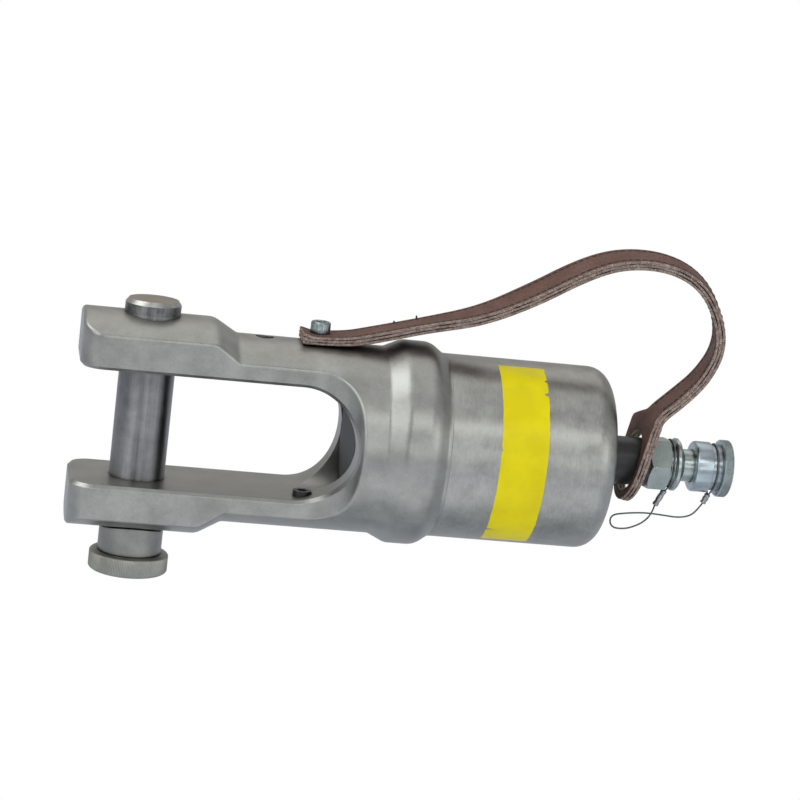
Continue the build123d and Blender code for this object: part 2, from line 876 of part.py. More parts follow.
with BuildPart() as coupler_body:
    extrude(hexagon(Plane.YZ.offset(hex_start_x), hex_flats, hex_turn), amount=hex_length)
    revolve(
        turned([
            (hex_start_x, 0),
            (hex_start_x, hex_flats / 2),
            (hex_start_x + hex_chamfer_length, hex_corner_radius),
            (hex_end_x - hex_chamfer_length, hex_corner_radius),
            (hex_end_x, hex_flats / 2),
            (hex_end_x, 0),
        ]),
        axis=Axis.X,
        mode=Mode.INTERSECT,
    )
    revolve(
        turned([
            (hex_end_x, 0),
            (hex_end_x, coupler_groove_diameter / 2),
            (ring_start_x, coupler_groove_diameter / 2),
            (ring_start_x, coupler_ring_radius - coupler_ring_chamfer),
            (ring_start_x + coupler_ring_chamfer, coupler_ring_radius),
            (ring_end_x - coupler_ring_chamfer, coupler_ring_radius),
            (ring_end_x, coupler_ring_radius - coupler_ring_chamfer),
            (ring_end_x, nipple_radius + nipple_flare_rise),
            (ring_end_x + nipple_flare_length, nipple_radius),
            (nipple_end_x - nipple_chamfer, nipple_radius),
            (nipple_end_x, nipple_radius - nipple_chamfer),
            (nipple_end_x, 0),
        ]),
        axis=Axis.X,
    )
    revolve(
        turned([
            (hex_start_x, 0),
            (hex_start_x, adapter_stub_radius + seat_clearance),
            (socket_end_x, adapter_stub_radius + seat_clearance),
            (socket_end_x, chamber_radius),
            (seat_x, chamber_radius),
            (mouth_x, mouth_radius),
            (nipple_end_x, mouth_radius),
            (nipple_end_x, 0),
        ]),
        axis=Axis.X,
        mode=Mode.SUBTRACT,
    )
coupler_body.part.label = "coupler_body"
export_step(coupler_body.part, "parts/coupler_body.step")

# Valve in the nipple: a cone poppet on a stem, its guide and its spring
guide_start_x = socket_end_x + face_gap
guide_end_x = guide_start_x + valve_guide_length
stem_radius = poppet_stem_diameter / 2
poppet_head_radius = poppet_head_diameter / 2
cone_slope = (chamber_radius - mouth_radius) / valve_seat_length
cone_start_x = seat_x - valve_gap + (chamber_radius - poppet_head_radius) / cone_slope
cone_end_x = mouth_x - valve_gap
head_start_x = cone_start_x - poppet_head_length

with BuildPart() as coupler_poppet:
    revolve(
        turned([
            (head_start_x - poppet_stem_length, 0),
            (head_start_x - poppet_stem_length, stem_radius),
            (head_start_x, stem_radius),
            (head_start_x, poppet_head_radius),
            (cone_start_x, poppet_head_radius),
            (cone_end_x, mouth_radius),
            (cone_end_x, poppet_nose_diameter / 2),
            (nipple_end_x - poppet_nose_sink, poppet_nose_diameter / 2),
            (nipple_end_x - poppet_nose_sink, 0),
        ]),
        axis=Axis.X,
    )
coupler_poppet.part.label = "coupler_poppet"
export_step(coupler_poppet.part, "parts/coupler_poppet.step")

with BuildPart() as poppet_guide:
    revolve(
        ring(
            guide_start_x,
            guide_end_x,
            stem_radius + slide_clearance,
            chamber_radius - seat_clearance,
        ),
        axis=Axis.X,
    )
    with BuildSketch(Plane.YZ.offset(guide_start_x)):
        with PolarLocations((stem_radius + chamber_radius) / 2, valve_guide_holes):
            Circle(valve_guide_hole_diameter / 2)
    extrude(amount=valve_guide_length, mode=Mode.SUBTRACT)
poppet_guide.part.label = "poppet_guide"
export_step(poppet_guide.part, "parts/poppet_guide.step")

poppet_spring = spring(
    guide_end_x, head_start_x, poppet_spring_diameter, poppet_spring_wire, poppet_spring_turns
)
poppet_spring.part.label = "poppet_spring"
export_step(poppet_spring.part, "parts/poppet_spring.step")

# Dust cap: a bored cup with a band, a groove for its loop and a flange to grip
cap_floor_x = nipple_end_x + face_gap + cap_seal_thickness + face_gap
cap_groove_radius = cap_groove_diameter / 2
cap_flange_radius = cap_flange_diameter / 2
grip_ring_x = cap_band_x + cap_band_length / 2
grip_middle_radius = cap_bore_radius + grip_ring_section / 2
grip_groove_radius = cap_bore_radius + grip_ring_section + seat_clearance
grip_groove_half = grip_ring_section / 2 + face_gap

with BuildPart() as dust_cap:
    revolve(
        turned([
            (cap_mouth_x, cap_bore_radius),
            (cap_mouth_x, cap_mouth_diameter / 2),
            (cap_band_x, cap_band_diameter / 2),
            (cap_groove_x, cap_band_diameter / 2),
            (cap_groove_x, cap_groove_radius),
            (cap_flange_x, cap_groove_radius),
            (cap_flange_x, cap_flange_radius - cap_flange_chamfer),
            (cap_flange_x + cap_flange_chamfer, cap_flange_radius),
            (cap_end_x - cap_flange_chamfer, cap_flange_radius),
            (cap_end_x, cap_flange_radius - cap_flange_chamfer),
            (cap_end_x, 0),
            (cap_floor_x, 0),
            (cap_floor_x, cap_bore_radius),
            (grip_ring_x + grip_groove_half, cap_bore_radius),
            (grip_ring_x + grip_groove_half, grip_groove_radius),
            (grip_ring_x - grip_groove_half, grip_groove_radius),
            (grip_ring_x - grip_groove_half, cap_bore_radius),
        ]),
        axis=Axis.X,
    )
dust_cap.part.label = "dust_cap"
export_step(dust_cap.part, "parts/dust_cap.step")

with BuildPart() as cap_grip_ring:
    with BuildSketch(Plane.XZ):
        with Locations((grip_ring_x, grip_middle_radius)):
            Circle(grip_ring_section / 2)
    revolve(axis=Axis.X)
cap_grip_ring.part.label = "cap_grip_ring"
export_step(cap_grip_ring.part, "parts/cap_grip_ring.step")

with BuildPart() as cap_seal:
    revolve(
        ring(
            nipple_end_x + face_gap,
            cap_floor_x - face_gap,
            0,
            cap_bore_radius - slide_clearance,
        ),
        axis=Axis.X,
    )
cap_seal.part.label = "cap_seal"
export_step(cap_seal.part, "parts/cap_seal.step")


# Lanyard: a wire loop in each groove, a ferrule that holds its ends, and the wire between
def wire_loop(x, groove_diameter, drop):
    radius = groove_diameter / 2 + slide_clearance + lanyard_radius
    side = strand_spacing / 2
    first = loop_start(drop, radius)
    ending = 180 - first
    low = -drop - ferrule_bite
    low_side = side - ferrule_bite * tan(radians(first + 90))
    with BuildPart() as loop:
        with BuildLine(Plane.YZ.offset(x)) as strand:
            meet_right = (radius * cos(radians(first)), radius * sin(radians(first)))
            meet_left = (-meet_right[0], meet_right[1])
            Line((low_side, low), meet_right)
            CenterArc((0, 0), radius, first, ending - first)
            Line(meet_left, (-low_side, low))
        with BuildSketch(Plane(origin=strand.line @ 0, z_dir=strand.line % 0)):
            Circle(lanyard_radius)
        sweep()
    return loop


def ferrule(top, bottom):
    axis_line = Vector(*bottom) - Vector(*top)
    with BuildPart() as sleeve:
        with BuildSketch(Plane(origin=top, z_dir=axis_line)):
            Circle(ferrule_diameter / 2)
        extrude(amount=axis_line.length)
        chamfer(sleeve.edges(), ferrule_chamfer)
    return sleeve


def shifted(place, reach):
    return tuple(a + b for a, b in zip(place, reach))


coupler_loop_x = (hex_end_x + ring_start_x) / 2
cap_loop_x = cap_groove_x + cap_loop_offset
coupler_ferrule_top = (coupler_loop_x, 0, -coupler_loop_drop)
coupler_ferrule_end = shifted(coupler_ferrule_top, coupler_ferrule_reach)
cap_ferrule_top = (cap_loop_x, 0, -cap_loop_drop)
cap_ferrule_end = shifted(cap_ferrule_top, cap_ferrule_reach)

coupler_loop = wire_loop(coupler_loop_x, coupler_groove_diameter, coupler_loop_drop)
coupler_loop.part.label = "coupler_loop"
export_step(coupler_loop.part, "parts/coupler_loop.step")

cap_loop = wire_loop(cap_loop_x, cap_groove_diameter, cap_loop_drop)
cap_loop.part.label = "cap_loop"
export_step(cap_loop.part, "parts/cap_loop.step")

coupler_ferrule = ferrule(coupler_ferrule_top, coupler_ferrule_end)
coupler_ferrule.part.label = "coupler_ferrule"
export_step(coupler_ferrule.part, "parts/coupler_ferrule.step")

cap_ferrule = ferrule(cap_ferrule_top, cap_ferrule_end)
cap_ferrule.part.label = "cap_ferrule"
export_step(cap_ferrule.part, "parts/cap_ferrule.step")

wire_stop = Vector(*cap_ferrule_end) + Vector(*cap_ferrule_reach).normalized() * 2 * face_gap
lanyard_points = [coupler_ferrule_end]
lanyard_points += [shifted((coupler_loop_x, 0, 0), place) for place in lanyard_route]
lanyard_points += [tuple(wire_stop)]
lanyard_radii = widest_arcs(lanyard_points)

with BuildPart() as lanyard_wire:
    with BuildLine() as route:
        FilletPolyline(*lanyard_points, radius=lanyard_radii)
    with BuildSketch(Plane(origin=route.line @ 0, z_dir=route.line % 0)):
        Circle(lanyard_radius)
    sweep()
lanyard_wire.part.label = "lanyard_wire"
export_step(lanyard_wire.part, "parts/lanyard_wire.step")
lanyard_length = sum(edge.length for edge in route.edges())
lanyard_volume = pi * lanyard_radius ** 2 * lanyard_length
print("lanyard radii", [round(radius, 1) for radius in lanyard_radii])
print("lanyard length", round(lanyard_length, 1))
print("lanyard volume over section times length", round(lanyard_wire.part.volume / lanyard_volume, 4))

# Strap bolt: a socket head cap screw that sinks a little into the leather
strap_low_z = neck_radius + face_gap
strap_middle_z = strap_low_z + strap_thickness / 2
head_low_z = strap_low_z + strap_thickness - strap_squeeze + face_gap
head_top_z = head_low_z + strap_bolt_head_length
head_radius = strap_bolt_head_diameter / 2

with BuildPart() as strap_bolt:
    revolve(
        upright(strap_bolt_x, [
            (0, bolt_tip_z),
            (strap_bolt_diameter / 2, bolt_tip_z),
            (strap_bolt_diameter / 2, head_low_z),
            (head_radius, head_low_z),
            (head_radius, head_top_z - strap_bolt_head_chamfer),
            (head_radius - strap_bolt_head_chamfer, head_top_z),
            (0, head_top_z),
        ]),
        axis=upright_axis(strap_bolt_x),
    )
    extrude(
        hexagon(Plane(origin=(strap_bolt_x, 0, head_top_z)), strap_bolt_socket),
        amount=-strap_bolt_socket_depth,
        mode=Mode.SUBTRACT,
    )
strap_bolt.part.label = "strap_bolt"
export_step(strap_bolt.part, "parts/strap_bolt.step")

# Carrying strap: stitched leather, bolted to the neck, looped up and over to a holed tab
tab_rise = Vector(sin(radians(tab_lean)), 0, cos(radians(tab_lean)))
tab_middle = Vector(tab_x, 0, 0)
tab_bend = tab_middle + tab_rise * tab_height
tab_end = tab_middle - tab_rise * (tab_width / 2)
strap_points = [
    (strap_bolt_x - strap_front_length, 0, strap_middle_z),
    (strap_bolt_x + strap_rest_length, 0, strap_middle_z),
]
strap_points += [(strap_bolt_x + along, 0, neck_radius + up) for along, up in strap_front_route]
strap_points += [(tab_x + along, 0, up) for along, up in strap_rear_route]
strap_points += [tuple(tab_bend), tuple(tab_end)]
strap_radii = widest_arcs(strap_points)
tab_plane = Plane(origin=tab_middle, x_dir=(0, 1, 0), z_dir=Vector(0, 1, 0).cross(tab_rise))
strap_front_x = strap_points[0][0]
above_strap = max(place[2] for place in strap_points) + cut_margin
cut_start_x = strap_front_x - cut_margin
cut_end_x = max(place[0] for place in strap_points) + cut_margin
side_slope = -tab_side_step / (tab_bend.X - strap_front_x)
cut_start_y = side_slope * (cut_start_x - strap_front_x)
cut_end_y = side_slope * (cut_end_x - strap_front_x)

with BuildPart() as carry_strap:
    with BuildLine():
        FilletPolyline(*strap_points, radius=strap_radii)
    with BuildSketch(Plane(origin=strap_points[0], x_dir=(0, 1, 0), z_dir=(1, 0, 0))):
        Rectangle(tab_width, strap_thickness)
    sweep()
    with BuildSketch(Plane.XY.offset(tab_bend.Z)):
        for half_width, far_side in ((strap_width / 2, tab_width), (-strap_width / 2, -tab_width)):
            with BuildLine():
                Polyline(
                    (cut_start_x, cut_start_y + half_width),
                    (cut_end_x, cut_end_y + half_width),
                    (cut_end_x, far_side),
                    (cut_start_x, far_side),
                    close=True,
                )
            make_face()
    extrude(amount=above_strap, mode=Mode.SUBTRACT)
    with BuildSketch(tab_plane):
        Rectangle(tab_width + cut_margin, tab_width / 2 + cut_margin, align=(Align.CENTER, Align.MAX))
        Circle(tab_width / 2, mode=Mode.SUBTRACT)
        Circle(tab_hole_diameter / 2)
    extrude(amount=strap_thickness, both=True, mode=Mode.SUBTRACT)
    revolve(
        upright_bore(strap_bolt_x, 0, above_strap, strap_bolt_diameter / 2 + slide_clearance),
        axis=upright_axis(strap_bolt_x),
        mode=Mode.SUBTRACT,
    )
    revolve(
        upright_bore(strap_bolt_x, head_low_z - face_gap, above_strap, head_radius + slide_clearance),
        axis=upright_axis(strap_bolt_x),
        mode=Mode.SUBTRACT,
    )
carry_strap.part.label = "carry_strap"
export_step(carry_strap.part, "parts/carry_strap.step")
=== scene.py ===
"""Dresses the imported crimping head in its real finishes: blasted steel, leather, knurls and wire.

Pieces are worked out in millimetres in the part's own frame and turned to metres as they are made.
"""
from math import cos, hypot, pi, radians, sin

import bpy
from mathutils import Matrix, Vector, noise
from mathutils.geometry import delaunay_2d_cdt


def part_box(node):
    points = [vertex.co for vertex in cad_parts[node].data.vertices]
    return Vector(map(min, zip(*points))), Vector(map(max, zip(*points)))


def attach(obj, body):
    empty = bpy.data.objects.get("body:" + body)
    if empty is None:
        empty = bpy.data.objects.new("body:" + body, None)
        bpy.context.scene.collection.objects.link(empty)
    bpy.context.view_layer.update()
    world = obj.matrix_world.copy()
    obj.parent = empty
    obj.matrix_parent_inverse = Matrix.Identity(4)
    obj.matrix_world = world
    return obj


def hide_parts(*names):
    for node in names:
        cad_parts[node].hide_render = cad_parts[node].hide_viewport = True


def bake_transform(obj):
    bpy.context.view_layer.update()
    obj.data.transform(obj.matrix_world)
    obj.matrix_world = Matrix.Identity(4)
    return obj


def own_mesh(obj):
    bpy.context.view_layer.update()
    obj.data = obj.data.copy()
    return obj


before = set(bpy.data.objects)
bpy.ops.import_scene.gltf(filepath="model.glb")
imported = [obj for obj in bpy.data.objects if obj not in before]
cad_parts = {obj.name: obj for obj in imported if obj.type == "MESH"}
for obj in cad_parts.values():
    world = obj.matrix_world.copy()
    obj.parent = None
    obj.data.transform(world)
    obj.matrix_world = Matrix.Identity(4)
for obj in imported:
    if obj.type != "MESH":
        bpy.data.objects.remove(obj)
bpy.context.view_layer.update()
scene = bpy.context.scene
MM = 0.001

# Camera, fitted to the photograph's outlines for a frame of 800 by 800
CAMERA_PLACE = (-0.24786, -1.63236, 0.34712)
CAMERA_RIGHT = (0.982409, -0.145268, 0.117347)
CAMERA_DOWN = (0.086027, -0.205689, -0.974829)
CAMERA_FORWARD = (0.165748, 0.967775, -0.189574)
CAMERA_LENS = 116.16

# Die pin and knob
PIN_X = -134.3
PIN_RADIUS = 18.0
PIN_TOP = 79.1
PIN_CHAMFER = 2.0
PIN_CHAMFER_HEIGHT = 2.7
PIN_SHOWS_FROM = 70.4
PIN_GROOVE = (-55.8, -52.2)
PIN_GROOVE_RADIUS = 14.51
PIN_SCREW_RADIUS = 4.02
PIN_SCREW_END = -74.3
PIN_SPIGOT_RADIUS = 9.0
PIN_SPIGOT_END = -95.1
COLLAR_RADIUS = 20.75
COLLAR_LOW = -87.1
COLLAR_GAP = 0.9
COLLAR_TOP_EDGE = 0.3
COLLAR_LOW_EDGE = 0.4
ARM_RADIUS = 70.4
KNOB_TOP = -87.15
KNOB_BOTTOM = -100.35
KNOB_RADIUS = 25.75
KNOB_TEETH = 150
KNOB_TOOTH = (0.0, -0.16, -0.34, -0.16)
KNOB_BORE = 9.1
KNOB_BORE_FLOOR = KNOB_TOP - 8.0
KNOB_SCREW_RADIUS = 4.1
KNOB_SINK_RADIUS = 8.3
KNOB_SINK_DEPTH = 4.1

# Dust cap, from its mouth to its flange
CAP_BORE = 10.85
CAP_MOUTH = 232.5
CAP_FLOOR = 251.2
CAP_FLANGE = 250.7
CAP_END = 257.5
CAP_GROOVE = (237.9, 239.7)
CAP_GROOVE_RADIUS = 12.57
CAP_BAND_RADIUS = 16.9
CAP_NECK_RADIUS = 15.2
CAP_FLANGE_RADIUS = 19.2
CAP_HUB = 0.5
CAP_DIAMONDS = 84
CAP_DIAMOND_STEPS = 6
CAP_DIAMOND_DEPTH = 0.42

# Strap bolt
BOLT_X = -25.7
BOLT_HEAD_LOW = 66.5
BOLT_HEAD_TOP = 74.5
BOLT_HEAD_RADIUS = 6.5
BOLT_RADIUS = 4.0
BOLT_TIP = 45.4
BOLT_FLUTES = 54
BOLT_FLUTE_DEPTH = 0.12
SOCKET_HALF = 3.0
SOCKET_DEPTH = 4.0
SOCKET_CHAMFER = 0.45

# Lanyard: the CAD wire's route from one ferrule to the other, and how the ferrules are pressed
LANYARD_DIAMETER = 1.2
LANYARD_ROUTE = [
    (211.3, -2.0, -28.4),
    (210.0, -3.0, -33.9),
    (204.6, -4.0, -40.4),
    (196.1, -4.0, -44.8),
    (190.5, -3.2, -46.1),
    (185.3, -1.6, -46.2),
    (183.0, -0.2, -43.9),
    (183.0, 1.2, -40.6),
    (185.3, 2.4, -38.2),
    (190.5, 3.0, -37.2),
    (198.1, 3.4, -36.2),
    (208.1, 3.4, -35.4),
    (219.1, 3.0, -36.0),
    (229.5, 2.0, -36.6),
    (237.3, 1.0, -34.6),
    (241.7, 0.3, -29.8),
    (244.41, 0.0, -24.89),
]
COUPLER_FERRULE = ((217.0, 0.0, -18.0), (211.3, -2.0, -28.4))
CAP_FERRULE = ((247.3, 0.0, -18.4), (244.45, 0.0, -24.8))
LANYARD_LOBES = 6
LANYARD_LAY = 7.0
FERRULE_WIDE = 2.3
FERRULE_THIN = 2.05
FERRULE_PRESSES = (0.27, 0.73)
FERRULE_PRESS_HALF = 0.1
FERRULE_SPREAD = 0.05
FERRULE_PINCH = 0.18
FERRULE_SHARES = (
    0.0, 0.0, 0.05, 0.12, 0.2, 0.27, 0.34, 0.42, 0.5, 0.58, 0.66, 0.73, 0.8, 0.88, 0.95, 1.0, 1.0,
)
FERRULE_END_REACH = (0.42, 0.86, 1.0)

# Strap: its middle line as X, Z and the twist of its width in degrees
STRAP_ROUTE = [
    (-37.9, 64.95, 0.0),
    (-14.0, 64.95, 0.0),
    (12.0, 69.6, 0.0),
    (45.0, 79.2, -1.0),
    (78.0, 88.6, 4.5),
    (107.8, 104.2, 8.0),
    (139.6, 125.0, 8.0),
    (165.3, 135.4, 7.5),
    (195.2, 136.5, 8.0),
    (219.5, 127.0, 10.0),
    (235.3, 106.6, 12.0),
    (240.0, 83.8, 8.0),
    (230.2, 62.4, 3.0),
    (214.4, 45.9, -1.0),
    (199.73, 32.16, 0.0),
    (196.4, 15.7, 0.0),
    (188.0, -26.5, 0.0),
]
STRAP_HALF_WIDTH = 14.5
STRAP_THICKNESS = 6.2
STRAP_PLIES = 3
PLY_GAP = 0.25
STRAP_BOLT_AT = 12.2
TAB_HALF_WIDTH = 27.0
TAB_SHOULDER = 31.0
TAB_SIDE_STEP = 8.0
TAB_HOLE_RADIUS = 20.5
BOLT_HOLE_RADIUS = 4.2
NECK_RADIUS = 61.4
STITCH_LINE = 10.6
STITCH_PITCH = 4.6
STITCH_LENGTH = 3.4
STITCH_RADIUS = 0.75
STITCH_SUNK = 0.35
STITCH_GROOVE_DEPTH = 0.8
STITCH_GROOVE_HALF = 1.3
FIRST_STITCH = 5.0
STITCHES_STOP_BEFORE = 8.0
THREAD_ENDS = ((62.6, 2.2), (77.7, 3.0))
THREAD_END_SUNK = 0.6
EDGE_ROUND = 0.5
SEAM_OPEN = (0.1, 0.8)
FRAY = 0.4
RIM_STEP = 1.6
RIM_CLEARANCE = 1.1
ROW_STEP = 1.9
TAB_ROW_STEP = 2.1
TAB_ROWS_BEFORE = 7.0

# How the strap lies: squeezed by the bolt, curled up at its end, saddled on the neck, wavy beyond
SQUEEZE = 1.15
SQUEEZE_FADES = (10.0, 40.0)
CURL = 1.8
CURL_LENGTH = 9.0
SADDLE_DROP = 0.4
SADDLE_SHARE = 0.2
SADDLE_FADES = (30.0, 62.0)
WAVE = 0.3
WAVE_GROWS = (40.0, 70.0)
WAVE_FADES_BEFORE = 20.0

# Plain label on the barrel; tears and slits are an angle, a depth and half a width in degrees
BARREL_RADIUS = 60.25
LABEL_START = 90.8
LABEL_END = 121.3
LABEL_TOP = 77.0
LABEL_BOTTOM = -64.0
LABEL_THICKNESS = 0.14
LABEL_UNDERSIDE = 0.02
LABEL_WAVER = 0.25
LABEL_TEARS = ((62.0, 2.2, 1.3), (50.5, 3.0, 1.6), (71.0, 0.9, 1.2))
LABEL_SLITS = ((-47.0, 6.0, 0.9), (12.0, 0.8, 1.4))

# Springs: the joint that shortens each, its seat's X, the joint's travel, the wire, the coil's mean
# diameter and its turns
SPRINGS = {
    "return_spring": ("ram_slide", 24.0, 26.0, 7.0, 82.0, 6.5),
    "poppet_spring": ("poppet_slide", 216.2, 4.0, 0.9, 8.4, 8.0),
}

# Floor, the room's grey level, and the table's lights in metres
FLOOR_LEVEL = -262.0
FLOOR_HALF = 60000.0
ROOM_SHADE = 0.45
TABLE_LIGHT_X = -0.1
TABLE_LIGHT_LIFT = 0.005

# Dust, dirt, and how far dirt and painted shade reach out of a corner
DUST = "#a8977b"
DIRT_AND_SHADE_REACH = 4.0
LEATHER_DIRT_AND_SHADE = "#221712"
LEATHER_DIRT_AND_SHADE_REACH = 1.5


def linear(code):
    """Linear colour for a socket from an sRGB hex value."""
    shades = [int(code[at:at + 2], 16) / 255 for at in (1, 3, 5)]
    return [s / 12.92 if s <= 0.04045 else ((s + 0.055) / 1.055) ** 2.4 for s in shades] + [1.0]


def per_metre(size):
    """Scale of a pattern whose features are about this many millimetres across."""
    return 1 / (size * MM)


def start_material(name, values):
    """A material with its plain values set on the shader's own sockets."""
    material = bpy.data.materials.new(name)
    material.use_nodes = True
    shader = material.node_tree.nodes["Principled BSDF"]
    for socket, value in values.items():
        shader.inputs[socket].default_value = value
    return material, material.node_tree, shader


def add(tree, kind, values, links):
    """Adds a node, sets its properties and sockets, and links other nodes' sockets into it."""
    node = tree.nodes.new("ShaderNode" + kind)
    for name, value in values.items():
        if isinstance(name, str) and hasattr(node, name):
            setattr(node, name, value)
        else:
            node.inputs[name].default_value = value
    for name, source in links.items():
        tree.links.new(source, node.inputs[name])
    return node


def steel(name, values, tones, sizes, stretch=(1.0, 1.0, 1.0), film=0.0, turned="Z"):
    """Metal or rubber: cloudy patches, a fine surface, worn edges, and oily dirt with painted
    shade in hollows and where parts meet.

    Tones are the light and dark patches, the dirt tone that also stands for painted shade in
    hollows, and the worn edge. Sizes in millimetres are a patch, the fine surface's grit and its
    depth, and how far wear reaches from an edge. Stretch draws the grit out along an axis where it
    is below one. Film is the share of warm dust that lies on faces that look up. Turned is the axis
    of the lathe's marks, where the finish is anisotropic.
    """
    light, dark, dirt, bright_edge = [linear(tone) for tone in tones]
    patch, grit, grit_depth, edge = sizes
    material, tree, shader = start_material(name, values)
    place = add(tree, "TexCoord", {}, {}).outputs["Object"]
    drawn = add(tree, "VectorMath", {"operation": "MULTIPLY", 1: stretch}, {0: place}).outputs[0]
    cloudy = {"Scale": per_metre(patch), "Detail": 5.0, "Roughness": 0.62}
    clouds = add(tree, "TexNoise", cloudy, {"Vector": place}).outputs["Fac"]
    gritty = {"Scale": per_metre(grit), "Detail": 3.0, "Roughness": 0.6}
    fine = add(tree, "TexNoise", gritty, {"Vector": drawn}).outputs["Fac"]
    share = add(tree, "Mix", {0: 0.3}, {2: clouds, 3: fine}).outputs[0]
    patchy = add(tree, "MapRange", {1: 0.38, 2: 0.62}, {0: share}).outputs[0]
    body = add(tree, "Mix", {"data_type": "RGBA", 6: dark, 7: light}, {0: patchy}).outputs[2]
    rounded = add(tree, "Bevel", {"samples": 4, "Radius": edge * MM}, {}).outputs[0]
    facing = add(tree, "NewGeometry", {}, {}).outputs["Normal"]
    turning = add(tree, "VectorMath", {"operation": "DOT_PRODUCT"}, {0: rounded, 1: facing})
    bend = turning.outputs["Value"]
    worn = add(tree, "MapRange", {1: 0.995, 2: 0.9, 3: 0.0, 4: 0.7}, {0: bend}).outputs[0]
    bare = add(tree, "Mix", {"data_type": "RGBA", 7: bright_edge}, {0: worn, 6: body}).outputs[2]
    ways = add(tree, "SeparateXYZ", {}, {0: facing}).outputs
    lain = add(tree, "MapRange", {1: 0.75, 2: 1.0, 4: film}, {0: ways["Z"]}).outputs[0]
    dust = {"data_type": "RGBA", 7: linear(DUST)}
    dusty = add(tree, "Mix", dust, {0: lain, 6: bare}).outputs[2]
    # Occlusion darkens hollows and joins towards the dirt tone: dirt with painted shade
    reach = {"samples": 4, "Distance": DIRT_AND_SHADE_REACH * MM}
    hollow = add(tree, "AmbientOcclusion", reach, {}).outputs["AO"]
    dirt_and_shade = add(tree, "MapRange", {1: 0.4, 2: 0.8}, {0: hollow}).outputs[0]
    shown = add(tree, "Mix", {"data_type": "RGBA", 6: dirt}, {0: dirt_and_shade, 7: dusty}).outputs[2]
    tree.links.new(shown, shader.inputs["Base Color"])
    rough = values["Roughness"]
    uneven = min(0.06, 0.16 * rough)
    glossy = {1: 0.35, 2: 0.65, 3: rough - uneven, 4: rough + uneven}
    sheen = add(tree, "MapRange", glossy, {0: share}).outputs[0]
    tree.links.new(sheen, shader.inputs["Roughness"])
    depth = {"Strength": 0.5, "Distance": grit_depth * MM}
    relief = add(tree, "Bump", depth, {"Height": fine, "Normal": rounded}).outputs[0]
    tree.links.new(relief, shader.inputs["Normal"])
    if "Anisotropic" in values:
        around = add(tree, "Tangent", {"direction_type": "RADIAL", "axis": turned}, {}).outputs[0]
        tree.links.new(around, shader.inputs["Tangent"])
        endwise = add(tree, "Math", {"operation": "ABSOLUTE"}, {0: ways[turned]}).outputs[0]
        ringed = {1: 0.2, 2: 0.5, 3: values["Anisotropic"], 4: 0.0}
        brushed = add(tree, "MapRange", ringed, {0: endwise}).outputs[0]
        tree.links.new(brushed, shader.inputs["Anisotropic"])
    return material


# Forged steel blasted with beads: satin and even, and its pebble of 0.2 mm is drawn at 0.9 mm
blasted_steel = steel(
    "bead_blasted_forged_steel", {"Metallic": 1.0, "Roughness": 0.38},
    ("#a7a8a4", "#91928e", "#625a52", "#b6b7b3"), (19.0, 0.9, 0.05, 0.6), film=0.12,
)
# Turned steel, blasted after turning: faint rings about the axis at 0.5 mm feed, drawn at 1.1 mm
barrel_steel = steel(
    "satin_turned_steel", {"Metallic": 1.0, "Roughness": 0.37},
    ("#abaca8", "#91928e", "#625a52", "#b6b7b3"), (17.0, 1.1, 0.035, 0.6), (1.0, 0.25, 0.25),
    film=0.12,
)
# Ground steel pin: satin, with light drawn out along it and scratches from sliding
ground_steel = steel(
    "ground_steel",
    {"Metallic": 1.0, "Roughness": 0.44, "Anisotropic": 0.94, "Anisotropic Rotation": 0.25},
    ("#9b9c9e", "#7b7c7f", "#3c3934", "#b5b4af"), (16.0, 1.3, 0.012, 0.5), (1.0, 1.0, 0.04),
    film=0.5,
)
# The same pin where it shows above the arm: a darker copy of its steel, painted shade
pin_steel_painted_shade = steel(
    "ground_steel_painted_shade",
    {"Metallic": 1.0, "Roughness": 0.4, "Anisotropic": 0.9, "Anisotropic Rotation": 0.25},
    ("#868788", "#5f6062", "#3c3934", "#9a9a96"), (5.0, 1.3, 0.012, 0.5), (1.0, 1.0, 0.04),
)
# Chamfer of the pin's top: a lighter copy of the pin's steel, painted highlight
chamfer_steel_painted_highlight = steel(
    "pin_chamfer_painted_highlight", {"Metallic": 1.0, "Roughness": 0.34},
    ("#bcbcb8", "#9e9e9a", "#3c3934", "#c8c8c4"), (7.0, 1.0, 0.012, 0.3),
)
# Phosphated end of the ram: dark, matt and rubbed by dies
ram_steel = steel(
    "phosphated_steel", {"Metallic": 0.3, "Roughness": 0.62, "Specular IOR Level": 0.3},
    ("#525253", "#404041", "#2c2a28", "#6d6d6c"), (22.0, 1.2, 0.02, 0.5), (1.0, 1.0, 0.06),
)
# Turned and knurled steel, dull from handling
knob_steel = steel(
    "knurled_steel", {"Metallic": 1.0, "Roughness": 0.4},
    ("#a5a59e", "#91918b", "#524e48", "#b4b4ae"), (14.0, 0.8, 0.02, 0.2), film=0.12,
)
# Turned steel of the pin's collar: dull, and greyer than the knob
collar_steel = steel(
    "dull_turned_steel", {"Metallic": 1.0, "Roughness": 0.4},
    ("#949490", "#838380", "#524e48", "#a6a6a1"), (14.0, 0.8, 0.02, 0.3), (1.0, 1.0, 0.3),
    film=0.12,
)
# Black oxide on steel: a thin dark film that keeps an oily gloss
black_steel = steel(
    "black_oxide_steel", {"Metallic": 0.0, "Roughness": 0.38, "Specular IOR Level": 0.5},
    ("#252527", "#1b1b1d", "#0e0e0e", "#3a3a3b"), (12.0, 1.0, 0.01, 0.3), (0.1, 1.0, 1.0),
)
# Zinc plate on a turned and milled coupler: grey with a cool cast, and soft gloss
zinc_plate = steel(
    "dull_zinc_plate",
    {"Metallic": 1.0, "Roughness": 0.3, "Anisotropic": 0.8, "Anisotropic Rotation": 0.25},
    ("#b4bfbc", "#a7b2af", "#7f8480", "#c8d1cf"), (9.0, 0.6, 0.003, 0.35), (1.0, 0.1, 0.1),
    turned="X",
)
# Zinc plate on the strap's screw: glossy and darker with handling
screw_zinc = steel(
    "glossy_zinc_plate", {"Metallic": 1.0, "Roughness": 0.15},
    ("#98a3a4", "#7d8889", "#3d413f", "#b4bec0"), (5.0, 0.5, 0.002, 0.3),
)
